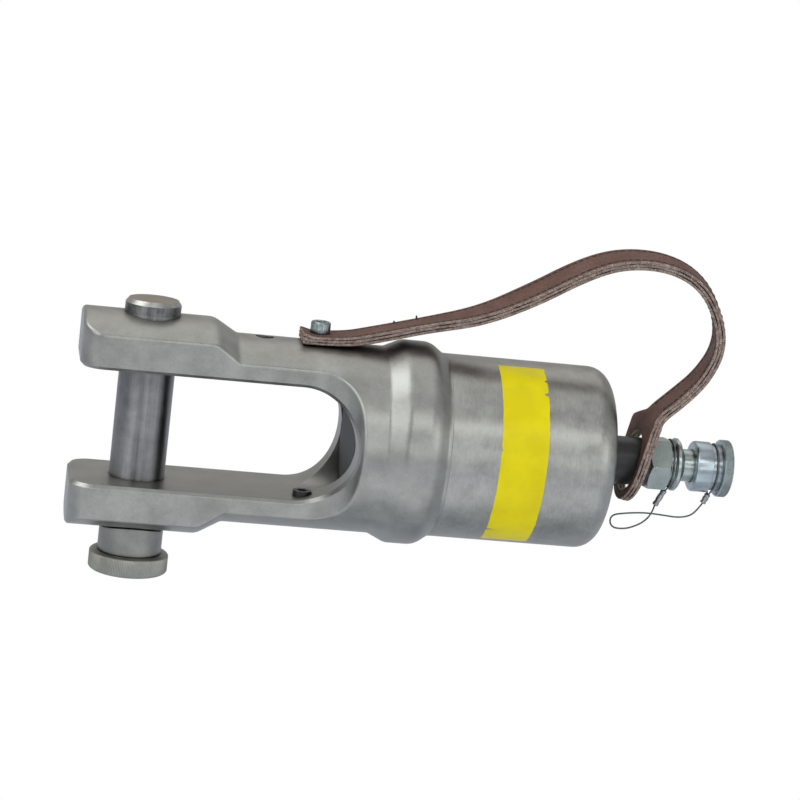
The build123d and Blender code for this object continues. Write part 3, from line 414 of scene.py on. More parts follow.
# Zinc plate in the cap's knurl: rougher, and grey, with dirt and painted shade between its diamonds
knurled_zinc = steel(
    "knurled_zinc_plate", {"Metallic": 1.0, "Roughness": 0.36},
    ("#98a3a4", "#818c8e", "#4c4e4b", "#b4bec0"), (6.0, 0.6, 0.008, 0.12),
)
# Fresh bright zinc: bluish, glossy, and turned in fine rings
bright_zinc = steel(
    "bright_zinc_plate",
    {"Metallic": 1.0, "Roughness": 0.3, "Anisotropic": 0.85, "Anisotropic Rotation": 0.25},
    ("#b3bfc5", "#a6b2b8", "#757b7c", "#c6cfd3"), (8.0, 0.7, 0.002, 0.3), (1.0, 0.05, 0.05),
    turned="X",
)
# Drawn spring wire: dark and smooth under oil
spring_steel = steel(
    "drawn_spring_steel", {"Metallic": 1.0, "Roughness": 0.32},
    ("#5c5c5e", "#474749", "#222222", "#6c6c6e"), (10.0, 0.8, 0.01, 0.2),
)
# Cast bronze, turned: warm and half bright
bronze = steel(
    "turned_bronze", {"Metallic": 1.0, "Roughness": 0.3},
    ("#c09a62", "#a8814c", "#4d3a22", "#cfae7c"), (10.0, 0.7, 0.01, 0.3), (1.0, 0.05, 0.05),
)
# Stranded steel wire: grey, dark between its strands
wire_rope = steel(
    "stranded_steel_wire", {"Metallic": 1.0, "Roughness": 0.35},
    ("#777c7f", "#565b5e", "#1d1f20", "#868b8e"), (5.0, 0.3, 0.02, 0.05),
)
# Soft aluminium sleeve, pressed: pale and scuffed
soft_aluminium = steel(
    "pressed_aluminium", {"Metallic": 1.0, "Roughness": 0.36},
    ("#a6abae", "#888d90", "#4c4d4d", "#babdbf"), (4.0, 0.5, 0.02, 0.15),
)
# Nitrile rubber rings: black and matt
nitrile = steel(
    "moulded_nitrile_rubber", {"Metallic": 0.0, "Roughness": 0.62},
    ("#1e1e1f", "#151516", "#0c0c0c", "#262627"), (6.0, 0.4, 0.02, 0.2),
)
# Filled PTFE rings: off white and waxy
ring_plastic = steel(
    "filled_ptfe", {"Metallic": 0.0, "Roughness": 0.45},
    ("#cfc8b4", "#bdb49d", "#6d6557", "#d8d2c2"), (8.0, 0.5, 0.01, 0.2), (1.0, 0.05, 0.05),
)


def leather(name, values, light, dark, crease, patch, pore, pore_depth):
    """Hide: uneven colour, creases between grains, pores, and dirt with painted shade in gaps."""
    material, tree, shader = start_material(name, values)
    place = add(tree, "TexCoord", {}, {}).outputs["Object"]
    cloudy = {"Scale": per_metre(patch), "Detail": 6.0, "Roughness": 0.65}
    clouds = add(tree, "TexNoise", cloudy, {"Vector": place}).outputs["Fac"]
    cells = {"feature": "DISTANCE_TO_EDGE", "Scale": per_metre(pore)}
    grains = add(tree, "TexVoronoi", cells, {"Vector": place}).outputs["Distance"]
    fibrous = {"Scale": per_metre(pore * 0.6), "Detail": 4.0, "Roughness": 0.7}
    fibre = add(tree, "TexNoise", fibrous, {"Vector": place}).outputs["Fac"]
    dyes = {"data_type": "RGBA", 6: linear(dark), 7: linear(light)}
    patchy = add(tree, "MapRange", {1: 0.34, 2: 0.66}, {0: clouds}).outputs[0]
    tone = add(tree, "Mix", dyes, {0: patchy}).outputs[2]
    valley = add(tree, "MapRange", {1: 0.0, 2: 0.16}, {0: grains}).outputs[0]
    creased = {"data_type": "RGBA", 6: linear(crease)}
    grained = add(tree, "Mix", creased, {0: valley, 7: tone}).outputs[2]
    # Occlusion darkens gaps between plies and round stitches: dirt with painted shade
    reach = {"samples": 4, "Distance": LEATHER_DIRT_AND_SHADE_REACH * MM}
    hollow = add(tree, "AmbientOcclusion", reach, {}).outputs["AO"]
    gap = add(tree, "MapRange", {1: 0.35, 2: 0.75}, {0: hollow}).outputs[0]
    dirt_and_shade_tone = {"data_type": "RGBA", 6: linear(LEATHER_DIRT_AND_SHADE)}
    shown = add(tree, "Mix", dirt_and_shade_tone, {0: gap, 7: grained}).outputs[2]
    tree.links.new(shown, shader.inputs["Base Color"])
    rough = values["Roughness"]
    rubbing = {1: 0.3, 2: 0.7, 3: rough + 0.1, 4: rough - 0.1}
    worn = add(tree, "MapRange", rubbing, {0: clouds}).outputs[0]
    tree.links.new(worn, shader.inputs["Roughness"])
    height = add(tree, "Math", {"operation": "ADD"}, {0: valley, 1: fibre}).outputs[0]
    depth = {"Strength": 0.6, "Distance": pore_depth * MM}
    relief = add(tree, "Bump", depth, {"Height": height}).outputs[0]
    tree.links.new(relief, shader.inputs["Normal"])
    return material


# Oiled harness leather: reddish brown grain side, with pores of 0.8 mm drawn at 1.6 mm
grain_leather = leather(
    "oiled_grain_leather", {"Roughness": 0.62, "IOR": 1.47, "Specular IOR Level": 0.15},
    "#775950", "#624840", "#4f3a33", 26.0, 1.6, 0.12,
)
# Cut edge of the plies: paler, fibrous and dry
edge_leather = leather(
    "cut_leather_edge", {"Roughness": 0.8, "IOR": 1.45, "Sheen Weight": 0.05},
    "#bfaea3", "#74625a", "#5a4840", 2.6, 0.9, 0.2,
)
# Raw hide round the punched hole, never dyed, and paler than it is: painted light on the shaded rim
raw_leather_painted_light = leather(
    "undyed_leather_cut_painted_light", {"Roughness": 0.85, "IOR": 1.45, "Sheen Weight": 0.1},
    "#f0e8d4", "#ddd2b8", "#b5a98c", 6.0, 0.9, 0.2,
)
# Waxed linen thread, darker than the leather
waxed_thread = leather(
    "waxed_linen_thread", {"Roughness": 0.6, "IOR": 1.5, "Sheen Weight": 0.15},
    "#2f231e", "#221915", "#150f0c", 3.0, 0.4, 0.06,
)


def label_vinyl():
    """Yellow vinyl film: flat colour under a soft gloss, scuffed to a duller tone."""
    material, tree, shader = start_material(
        "yellow_vinyl_film", {"Roughness": 0.45, "IOR": 1.5, "Specular IOR Level": 0.2}
    )
    place = add(tree, "TexCoord", {}, {}).outputs["Object"]
    cloudy = {"Scale": per_metre(18.0), "Detail": 5.0}
    clouds = add(tree, "TexNoise", cloudy, {"Vector": place}).outputs["Fac"]
    scuffed = {"Scale": per_metre(2.2), "Detail": 6.0, "Roughness": 0.75}
    scuffs = add(tree, "TexNoise", scuffed, {"Vector": place}).outputs["Fac"]
    yellows = {"data_type": "RGBA", 6: linear("#d2c304"), 7: linear("#dccd03")}
    patchy = add(tree, "MapRange", {1: 0.4, 2: 0.6}, {0: clouds}).outputs[0]
    tone = add(tree, "Mix", yellows, {0: patchy}).outputs[2]
    worn = add(tree, "MapRange", {1: 0.68, 2: 0.78}, {0: scuffs}).outputs[0]
    dull = {"data_type": "RGBA", 7: linear("#a59a2c")}
    shown = add(tree, "Mix", dull, {0: worn, 6: tone}).outputs[2]
    tree.links.new(shown, shader.inputs["Base Color"])
    gloss = add(tree, "MapRange", {1: 0.3, 2: 0.7, 3: 0.28, 4: 0.45}, {0: clouds}).outputs[0]
    tree.links.new(gloss, shader.inputs["Roughness"])
    depth = {"Strength": 0.3, "Distance": 0.03 * MM}
    relief = add(tree, "Bump", depth, {"Height": scuffs}).outputs[0]
    tree.links.new(relief, shader.inputs["Normal"])
    return material


yellow_film = label_vinyl()

# Solids that show as they are in the CAD
FINISH_OF_NODE = {
    "fork_head": blasted_steel,
    "cylinder_barrel": barrel_steel,
    "ram": ram_steel,
    "coupler_poppet": bright_zinc,
    "piston": barrel_steel,
    "piston_nut": black_steel,
    "die_guide_screw": black_steel,
    "upper_set_screw": black_steel,
    "port_adapter": black_steel,
    "knob_screw": black_steel,
    "coupler_body": zinc_plate,
    "ram_guide_bush": bronze,
    "poppet_guide": bronze,
    "coupler_loop": wire_rope,
    "cap_loop": wire_rope,
    "piston_seal": nitrile,
    "ram_wiper": nitrile,
    "port_seal": nitrile,
    "pin_drag_ring": nitrile,
    "cap_grip_ring": nitrile,
    "cap_seal": nitrile,
    "piston_backup_ring": ring_plastic,
    "piston_wear_ring": ring_plastic,
}
for node, finish in FINISH_OF_NODE.items():
    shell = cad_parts[node].data
    shell.materials.clear()
    shell.materials.append(finish)


def make_piece(name, points, faces, finishes, crease=40.0, finish_of_face=None):
    """A mesh piece from points in millimetres."""
    mesh = bpy.data.meshes.new(name)
    mesh.from_pydata([Vector(point) * MM for point in points], [], faces)
    for finish in finishes:
        mesh.materials.append(finish)
    if finish_of_face:
        mesh.polygons.foreach_set("material_index", finish_of_face)
    mesh.shade_smooth()
    mesh.set_sharp_from_angle(angle=radians(crease))
    mesh.validate()
    made = bpy.data.objects.new(name, mesh)
    scene.collection.objects.link(made)
    return made


def ring_angles(ring_size):
    """Angles of points that lie evenly round a ring."""
    return [2 * pi * step / ring_size for step in range(ring_size)]


def rings_to_faces(ring_count, ring_size, first=0):
    """Quads between neighbouring rings of points."""
    faces = []
    for ring in range(ring_count - 1):
        for at in range(ring_size):
            a = first + ring * ring_size + at
            b = first + ring * ring_size + (at + 1) % ring_size
            faces.append((a, b, b + ring_size, a + ring_size))
    return faces


def capped_rings(ring_count, ring_size, first=0):
    """Quads between neighbouring rings of points, and a face that closes each end."""
    last = first + (ring_count - 1) * ring_size
    ends = [tuple(reversed(range(first, first + ring_size))), tuple(range(last, last + ring_size))]
    return rings_to_faces(ring_count, ring_size, first) + ends


def spline_points(route, steps):
    """Points along the NURBS spline that has the route's points as its control points."""
    curve = bpy.data.curves.new("route", "CURVE")
    curve.dimensions = "3D"
    curve.resolution_u = steps
    spline = curve.splines.new("NURBS")
    spline.points.add(len(route) - 1)
    for point, place in zip(spline.points, route):
        point.co = (*place, 1.0)
    spline.order_u = 3
    spline.use_endpoint_u = True
    line = bpy.data.objects.new("route", curve)
    scene.collection.objects.link(line)
    mesh = bpy.data.meshes.new_from_object(line)
    points = [vertex.co.copy() for vertex in mesh.vertices]
    bpy.data.meshes.remove(mesh)
    bpy.data.objects.remove(line)
    bpy.data.curves.remove(curve)
    return points


def ramp(value, low, high):
    """Smooth step from 0 at low to 1 at high."""
    share = min(1.0, max(0.0, (value - low) / (high - low)))
    return share * share * (3 - 2 * share)


# Camera
camera = bpy.data.objects.new("camera", bpy.data.cameras.new("camera"))
camera.data.lens = CAMERA_LENS
camera.data.sensor_width = 36.0
camera.data.clip_start = 0.05
camera.data.clip_end = 300.0
camera_rows = [
    (right, -down, -forward, place)
    for right, down, forward, place in zip(
        CAMERA_RIGHT, CAMERA_DOWN, CAMERA_FORWARD, CAMERA_PLACE
    )
]
camera.matrix_world = Matrix(camera_rows + [(0.0, 0.0, 0.0, 1.0)])
scene.collection.objects.link(camera)
scene.camera = camera


# Lanyard: seven strands laid into one wire
def lay_wire(name, line, radius, lobes, lay):
    """A stranded wire along a line of points: a lobed section that turns once in each lay."""
    ring_size = lobes * 4
    points = []
    turned = 0.0
    side = Vector((0.0, 1.0, 0.0))
    for at, place in enumerate(line):
        ahead = (line[min(at + 1, len(line) - 1)] - line[max(at - 1, 0)]).normalized()
        side = (side - ahead * side.dot(ahead)).normalized()
        other = ahead.cross(side)
        if at:
            turned += (place - line[at - 1]).length / lay * 2 * pi
        for angle in ring_angles(ring_size):
            reach = radius * (0.9 + 0.1 * cos(lobes * angle))
            outward = side * cos(angle + turned) + other * sin(angle + turned)
            points.append(place + outward * reach)
    return make_piece(name, points, capped_rings(len(line), ring_size), [wire_rope], 60.0)


lanyard_line = spline_points(LANYARD_ROUTE, 14)
lanyard = lay_wire("lanyard_rope", lanyard_line, LANYARD_DIAMETER / 2, LANYARD_LOBES, LANYARD_LAY)
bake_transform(lanyard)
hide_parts("lanyard_wire")


# Ferrules: oval sleeves, pressed at two places
def press_ferrule(name, ends, body, node):
    top, bottom = Vector(ends[0]), Vector(ends[1])
    ahead = (bottom - top).normalized()
    wide = (Vector((0.0, 1.0, 0.0)) - ahead * ahead.y).normalized()
    thin = ahead.cross(wide)
    length = (bottom - top).length
    ring_size = 28
    points = []
    for at, share in enumerate(FERRULE_SHARES):
        reach = FERRULE_END_REACH[min(2, at, len(FERRULE_SHARES) - 1 - at)]
        pressed = 0.0
        for press in FERRULE_PRESSES:
            off = (share - press) / FERRULE_PRESS_HALF
            if abs(off) < 1:
                pressed += cos(off * pi / 2)
        for angle in ring_angles(ring_size):
            across = wide * cos(angle) * FERRULE_WIDE * (1 + FERRULE_SPREAD * pressed)
            across += thin * sin(angle) * FERRULE_THIN * (1 - FERRULE_PINCH * pressed)
            points.append(top + ahead * length * share + across * reach)
    faces = capped_rings(len(FERRULE_SHARES), ring_size)
    made = make_piece(name, points, faces, [soft_aluminium], 50.0)
    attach(made, body)
    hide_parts(node)
    return made


coupler_sleeve = press_ferrule("coupler_sleeve", COUPLER_FERRULE, "head", "coupler_ferrule")
cap_sleeve = press_ferrule("cap_sleeve", CAP_FERRULE, "dust_cap_assembly", "cap_ferrule")


# Die pin: the top of its collar follows the round underside of the arm
def turn_die_pin():
    ring_size = 144
    ground, turned, shaded_side, bright_edge = range(4)
    profile = [
        # The chamfer takes the lighter copy: painted highlight
        (PIN_RADIUS - PIN_CHAMFER, PIN_TOP, False, bright_edge),
        # The side above the arm takes the darker copy: painted shade
        (PIN_RADIUS, PIN_TOP - PIN_CHAMFER_HEIGHT, False, shaded_side),
        (PIN_RADIUS, PIN_SHOWS_FROM, False, ground),
        (PIN_RADIUS, PIN_GROOVE[1], False, ground),
        (PIN_GROOVE_RADIUS, PIN_GROOVE[1], False, ground),
        (PIN_GROOVE_RADIUS, PIN_GROOVE[0], False, ground),
        (PIN_RADIUS, PIN_GROOVE[0], False, ground),
        (PIN_RADIUS, -COLLAR_GAP, True, turned),
        (COLLAR_RADIUS - COLLAR_TOP_EDGE, -COLLAR_GAP, True, turned),
        (COLLAR_RADIUS, -COLLAR_GAP - COLLAR_TOP_EDGE, True, turned),
        (COLLAR_RADIUS, COLLAR_LOW + COLLAR_LOW_EDGE, False, turned),
        (COLLAR_RADIUS - COLLAR_LOW_EDGE, COLLAR_LOW, False, turned),
        (PIN_SPIGOT_RADIUS, COLLAR_LOW, False, turned),
        (PIN_SPIGOT_RADIUS, PIN_SPIGOT_END, False, turned),
        (PIN_SCREW_RADIUS, PIN_SPIGOT_END, False, turned),
        (PIN_SCREW_RADIUS, PIN_SCREW_END, False, turned),
    ]
    points = []
    for radius, level, under_arm, _ in profile:
        for angle in ring_angles(ring_size):
            across = -radius * sin(angle)
            arm = -(ARM_RADIUS ** 2 - across ** 2) ** 0.5 if under_arm else 0.0
            points.append((PIN_X + radius * cos(angle), across, level + arm))
    faces = capped_rings(len(profile), ring_size)
    finish_of_face = [profile[face[0] // ring_size][3] for face in faces[:-2]] + [ground, turned]
    finishes = [ground_steel, collar_steel, pin_steel_painted_shade, chamfer_steel_painted_highlight]
    made = make_piece("turned_die_pin", points, faces, finishes, 30.0, finish_of_face)
    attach(made, "die_pin_assembly")
    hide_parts("die_pin")


turn_die_pin()


# Knob: a turned disc with a straight knurl
def cut_knob():
    ring_size = KNOB_TEETH * len(KNOB_TOOTH)
    profile = [
        (KNOB_BORE, KNOB_TOP, 0.0),
        (20.0, KNOB_TOP, 0.0),
        (23.4, KNOB_TOP, 0.0),
        (23.7, KNOB_TOP - 0.12, 0.0),
        (24.6, KNOB_TOP - 0.5, 0.0),
        (25.3, KNOB_TOP - 1.0, 0.2),
        (KNOB_RADIUS, KNOB_TOP - 1.7, 1.0),
        (KNOB_RADIUS, KNOB_BOTTOM + 1.9, 1.0),
        (25.2, KNOB_BOTTOM + 1.1, 0.3),
        (24.4, KNOB_BOTTOM + 0.5, 0.0),
        (23.4, KNOB_BOTTOM + 0.12, 0.0),
        (22.4, KNOB_BOTTOM, 0.0),
        (KNOB_SINK_RADIUS, KNOB_BOTTOM, 0.0),
        (KNOB_SCREW_RADIUS, KNOB_BOTTOM + KNOB_SINK_DEPTH, 0.0),
        (KNOB_SCREW_RADIUS, KNOB_BORE_FLOOR, 0.0),
        (KNOB_BORE, KNOB_BORE_FLOOR, 0.0),
        (KNOB_BORE, KNOB_TOP, 0.0),
    ]
    points = []
    for radius, level, knurl in profile:
        for step, angle in enumerate(ring_angles(ring_size)):
            reach = radius + KNOB_TOOTH[step % len(KNOB_TOOTH)] * knurl
            points.append((PIN_X + reach * cos(angle), -reach * sin(angle), level))
    faces = rings_to_faces(len(profile), ring_size)
    made = make_piece("knurled_knob", points, faces, [knob_steel], 30.0)
    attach(made, "die_pin_assembly")
    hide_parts("pin_knob")


cut_knob()


# Dust cap: a turned cup with a rounded band and a diamond knurl on its flange
def turn_dust_cap():
    ring_size = CAP_DIAMONDS * CAP_DIAMOND_STEPS
    flange_rows = 25
    rise = 0.9
    profile = [
        (CAP_FLOOR, CAP_HUB, False),
        (CAP_FLOOR, CAP_BORE, False),
        (CAP_GROOVE[1], CAP_BORE, False),
        (CAP_GROOVE[1], CAP_GROOVE_RADIUS, False),
        (CAP_GROOVE[0], CAP_GROOVE_RADIUS, False),
        (CAP_GROOVE[0], CAP_BORE, False),
        (CAP_MOUTH + 0.4, CAP_BORE, False),
        (CAP_MOUTH, CAP_BORE + 0.4, False),
        (CAP_MOUTH, 14.6, False),
        (CAP_MOUTH + 0.06, 15.3, False),
        (CAP_MOUTH + 0.3, 15.95, False),
        (CAP_MOUTH + 0.7, 16.45, False),
        (CAP_MOUTH + 1.3, 16.8, False),
        (CAP_MOUTH + 2.0, CAP_BAND_RADIUS, False),
        (243.5, CAP_BAND_RADIUS, False),
        (244.0, 16.7, False),
        (244.2, 16.2, False),
        (244.2, 15.5, False),
        (244.5, CAP_NECK_RADIUS, False),
        (250.4, CAP_NECK_RADIUS, False),
        (CAP_FLANGE, 15.5, False),
        (CAP_FLANGE, 18.1, False),
        (CAP_FLANGE + 0.15, 18.5, False),
        (CAP_FLANGE + rise, CAP_FLANGE_RADIUS - 0.12, False),
    ]
    width = CAP_END - CAP_FLANGE - 2 * rise
    for row in range(flange_rows):
        along = CAP_FLANGE + rise + width * row / (flange_rows - 1)
        profile.append((along, CAP_FLANGE_RADIUS, True))
    profile += [
        (CAP_END - rise, CAP_FLANGE_RADIUS - 0.12, False),
        (CAP_END - 0.15, 18.5, False),
        (CAP_END, 18.1, False),
        (CAP_END, 12.4, False),
        (CAP_END - 0.5, 11.9, False),
        (CAP_END - 0.5, CAP_HUB, False),
    ]
    points = []
    pitch = 2 * pi * CAP_FLANGE_RADIUS / CAP_DIAMONDS
    for along, radius, knurled in profile:
        for step, angle in enumerate(ring_angles(ring_size)):
            reach = radius
            if knurled:
                turn = step / CAP_DIAMOND_STEPS
                shift = (along - CAP_FLANGE) / pitch
                slopes = [abs((turn + way * shift) % 1.0 - 0.5) * 2 for way in (1, -1)]
                reach -= CAP_DIAMOND_DEPTH * (1 - min(slopes))
            points.append((along, reach * cos(angle), reach * sin(angle)))
    faces = capped_rings(len(profile), ring_size)
    finish_of_face = [int(profile[face[0] // ring_size][2]) for face in faces]
    finishes = [bright_zinc, knurled_zinc]
    made = make_piece("knurled_dust_cap", points, faces, finishes, 34.0, finish_of_face)
    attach(made, "dust_cap_assembly")
    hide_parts("dust_cap")


turn_dust_cap()


# Strap bolt: a socket cap screw with a knurled head
def cut_strap_bolt():
    ring_size = BOLT_FLUTES * 4
    profile = [
        (BOLT_RADIUS, BOLT_TIP, 0.0),
        (BOLT_RADIUS, BOLT_HEAD_LOW, 0.0),
        (6.2, BOLT_HEAD_LOW, 0.0),
        (BOLT_HEAD_RADIUS, BOLT_HEAD_LOW + 0.3, 1.0),
        (BOLT_HEAD_RADIUS, BOLT_HEAD_TOP - 1.1, 1.0),
        (6.3, BOLT_HEAD_TOP - 0.8, 0.2),
        (6.05, BOLT_HEAD_TOP - 0.3, 0.0),
        (5.5, BOLT_HEAD_TOP, 0.0),
    ]
    socket = [
        (SOCKET_HALF + SOCKET_CHAMFER, BOLT_HEAD_TOP),
        (SOCKET_HALF, BOLT_HEAD_TOP - SOCKET_CHAMFER),
        (SOCKET_HALF, BOLT_HEAD_TOP - SOCKET_DEPTH),
    ]
    points = []
    for radius, level, knurl in profile:
        for step, angle in enumerate(ring_angles(ring_size)):
            flute = abs((step * BOLT_FLUTES / ring_size) % 1.0 - 0.5)
            reach = radius - BOLT_FLUTE_DEPTH * knurl * flute * 2
            points.append((BOLT_X + reach * cos(angle), reach * sin(angle), level))
    for half, level in socket:
        for angle in ring_angles(ring_size):
            flat = (angle % (pi / 3)) - pi / 6
            reach = half / cos(flat)
            points.append((BOLT_X + reach * cos(angle), reach * sin(angle), level))
    faces = capped_rings(len(profile) + len(socket), ring_size)
    made = make_piece("knurled_cap_screw", points, faces, [screw_zinc], 30.0)
    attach(made, "head")
    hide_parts("strap_bolt")


cut_strap_bolt()

# Strap: three plies cut to one flat pattern, laid along the strap's middle line and stitched
strap_line = spline_points([(x, twist, z) for x, z, twist in STRAP_ROUTE], 14)
strap_run = [0.0]
for before, after in zip(strap_line, strap_line[1:]):
    strap_run.append(strap_run[-1] + hypot(after.x - before.x, after.z - before.z))
strap_length = strap_run[-1]
tab_at = strap_length - TAB_HALF_WIDTH
shoulder_at = tab_at - TAB_SHOULDER
tab_rows_at = shoulder_at - TAB_ROWS_BEFORE


def middle_of_strap(along):
    """Where the strap's middle lies across the pattern: it drifts aside on its way to the tab."""
    return -TAB_SIDE_STEP * min(1.0, along / shoulder_at)


def on_strap(along, across, height):
    """Place of a spot of the flat pattern, at a height above the middle ply, on the bent strap."""
    at = 1
    while at < len(strap_run) - 1 and strap_run[at] < along:
        at += 1
    before, after = strap_line[at - 1], strap_line[at]
    share = (along - strap_run[at - 1]) / (strap_run[at] - strap_run[at - 1])
    spot = before.lerp(after, share)
    back = strap_line[max(at - 2, 0)]
    front = strap_line[min(at + 1, len(strap_line) - 1)]
    early = Vector((after.x - back.x, 0.0, after.z - back.z)).normalized()
    late = Vector((front.x - before.x, 0.0, front.z - before.z)).normalized()
    ahead = early.lerp(late, min(1.0, max(0.0, share))).normalized()
    twist = radians(spot.y)
    up = ahead.cross(Vector((0.0, 1.0, 0.0)))
    side = Vector((0.0, cos(twist), 0.0)) + up * sin(twist)
    up = ahead.cross(side)
    from_bolt = hypot(along - STRAP_BOLT_AT, across)
    squeeze = 1 - SQUEEZE / STRAP_THICKNESS * (1 - ramp(from_bolt, *SQUEEZE_FADES))
    low = -STRAP_THICKNESS / 2
    height = low + (height - low) * squeeze
    lift = ramp(CURL_LENGTH - along, 0.0, CURL_LENGTH) * (height - low) / STRAP_THICKNESS
    drop = SADDLE_DROP + SADDLE_SHARE * across ** 2 / (2 * NECK_RADIUS)
    saddle = (1 - ramp(along, *SADDLE_FADES)) * drop
    wave = WAVE * noise.noise(Vector((along * 0.03, across * 0.05, 3.7)))
    fades_at = shoulder_at - WAVE_FADES_BEFORE
    wave *= ramp(along, *WAVE_GROWS) * (1 - ramp(along, fades_at, shoulder_at))
    level = height + CURL * lift - saddle + wave
    return Vector((spot.x, 0.0, spot.z)) + side * across + up * level


def round_corners(corners, step):
    """Outline through corners of a flat pattern, each rounded to its radius, in short steps."""
    outline = []
    count = len(corners)
    for at, (along, across, radius) in enumerate(corners):
        corner = Vector((along, across))
        to_last = (Vector(corners[at - 1][:2]) - corner).normalized()
        to_next = (Vector(corners[(at + 1) % count][:2]) - corner).normalized()
        first, last = corner + to_last * radius, corner + to_next * radius
        centre = corner + (to_last + to_next) * radius
        arc_steps = max(4, round(radius * pi / 2 / step))
        for part in range(arc_steps + 1):
            angle = pi / 2 * part / arc_steps
            outline.append(centre + (first - centre) * cos(angle) + (last - centre) * sin(angle))
    full = []
    for at, spot in enumerate(outline):
        ahead = outline[(at + 1) % len(outline)]
        gap = (ahead - spot).length
        if gap < 1e-6:
            continue
        pieces = max(1, round(gap / step))
        full += [spot.lerp(ahead, part / pieces) for part in range(pieces)]
    return full


def circle(along, radius, count):
    """Outline of a round hole in the flat pattern."""
    return [
        Vector((along + radius * cos(angle), radius * sin(angle))) for angle in ring_angles(count)
    ]


def inside(spot, outline):
    """True for a spot within a closed outline."""
    hit = False
    for a, b in zip(outline, outline[1:] + outline[:1]):
        if (a.y > spot.y) != (b.y > spot.y):
            if spot.x < a.x + (spot.y - a.y) / (b.y - a.y) * (b.x - a.x):
                hit = not hit
    return hit


def in_leather(spot, outline, holes):
    """True for a spot of the flat pattern that is in no hole."""
    return inside(spot, outline) and not any(inside(spot, hole) for hole in holes)


def cut_pattern():
    """Flat pattern of a ply: its spots, triangles, rims, and each rim spot's way inwards."""
    near_edge = -TAB_SIDE_STEP - STRAP_HALF_WIDTH
    far_edge = -TAB_SIDE_STEP + STRAP_HALF_WIDTH
    outline = round_corners(
        [
            (0.0, -STRAP_HALF_WIDTH, 2.5),
            (shoulder_at - 2.0, near_edge, 2.0),
            (shoulder_at + 2.0, -TAB_HALF_WIDTH, 2.0),
            (strap_length, -TAB_HALF_WIDTH, TAB_HALF_WIDTH),
            (strap_length, TAB_HALF_WIDTH, TAB_HALF_WIDTH),
            (shoulder_at + 4.0, TAB_HALF_WIDTH, 3.0),
            (shoulder_at - 4.0, far_edge, 2.0),
            (0.0, STRAP_HALF_WIDTH, 2.5),
        ],
        RIM_STEP,
    )
    holes = [circle(tab_at, TAB_HOLE_RADIUS, 84), circle(STRAP_BOLT_AT, BOLT_HOLE_RADIUS, 24)]
    rims = [outline] + holes
    spots, edges, inward = [], [], []
    for rim in rims:
        first = len(spots)
        count = len(rim)
        for at, spot in enumerate(rim):
            way = rim[(at + 1) % count] - rim[at - 1]
            spots.append(spot)
            edges.append((first + at, first + (at + 1) % count))
            inward.append(Vector((-way.y, way.x)).normalized() * (1 if rim is outline else -1))
    rim_count = len(spots)
    columns = [0.0]
    for across in (2.6, 5.2, 7.8, 9.4, 10.1, STITCH_LINE, 11.1, 11.8, 13.2):
        columns += [across, -across]
    along = RIM_STEP
    while along < strap_length:
        wide = along > tab_rows_at
        row = columns
        if wide:
            row = [place * TAB_ROW_STEP - middle_of_strap(along) for place in range(-13, 14)]
        spots += [Vector((along, across + middle_of_strap(along))) for across in row]
        along += TAB_ROW_STEP if wide else ROW_STEP
    kept = spots[:rim_count]
    for spot in spots[rim_count:]:
        clear = min((spot - near).length for near in spots[:rim_count])
        if clear > RIM_CLEARANCE and in_leather(spot, outline, holes):
            kept.append(spot)
    flat, _, triangles, sources, _, _ = delaunay_2d_cdt(kept, edges, [], 0, 1e-5)
    places = [source[0] for source in sources]
    faces = []
    for triangle in triangles:
        middle = sum((flat[corner] for corner in triangle), Vector((0.0, 0.0))) / 3
        if in_leather(middle, outline, holes):
            faces.append([places[corner] for corner in triangle])
    return kept, faces, rims, inward


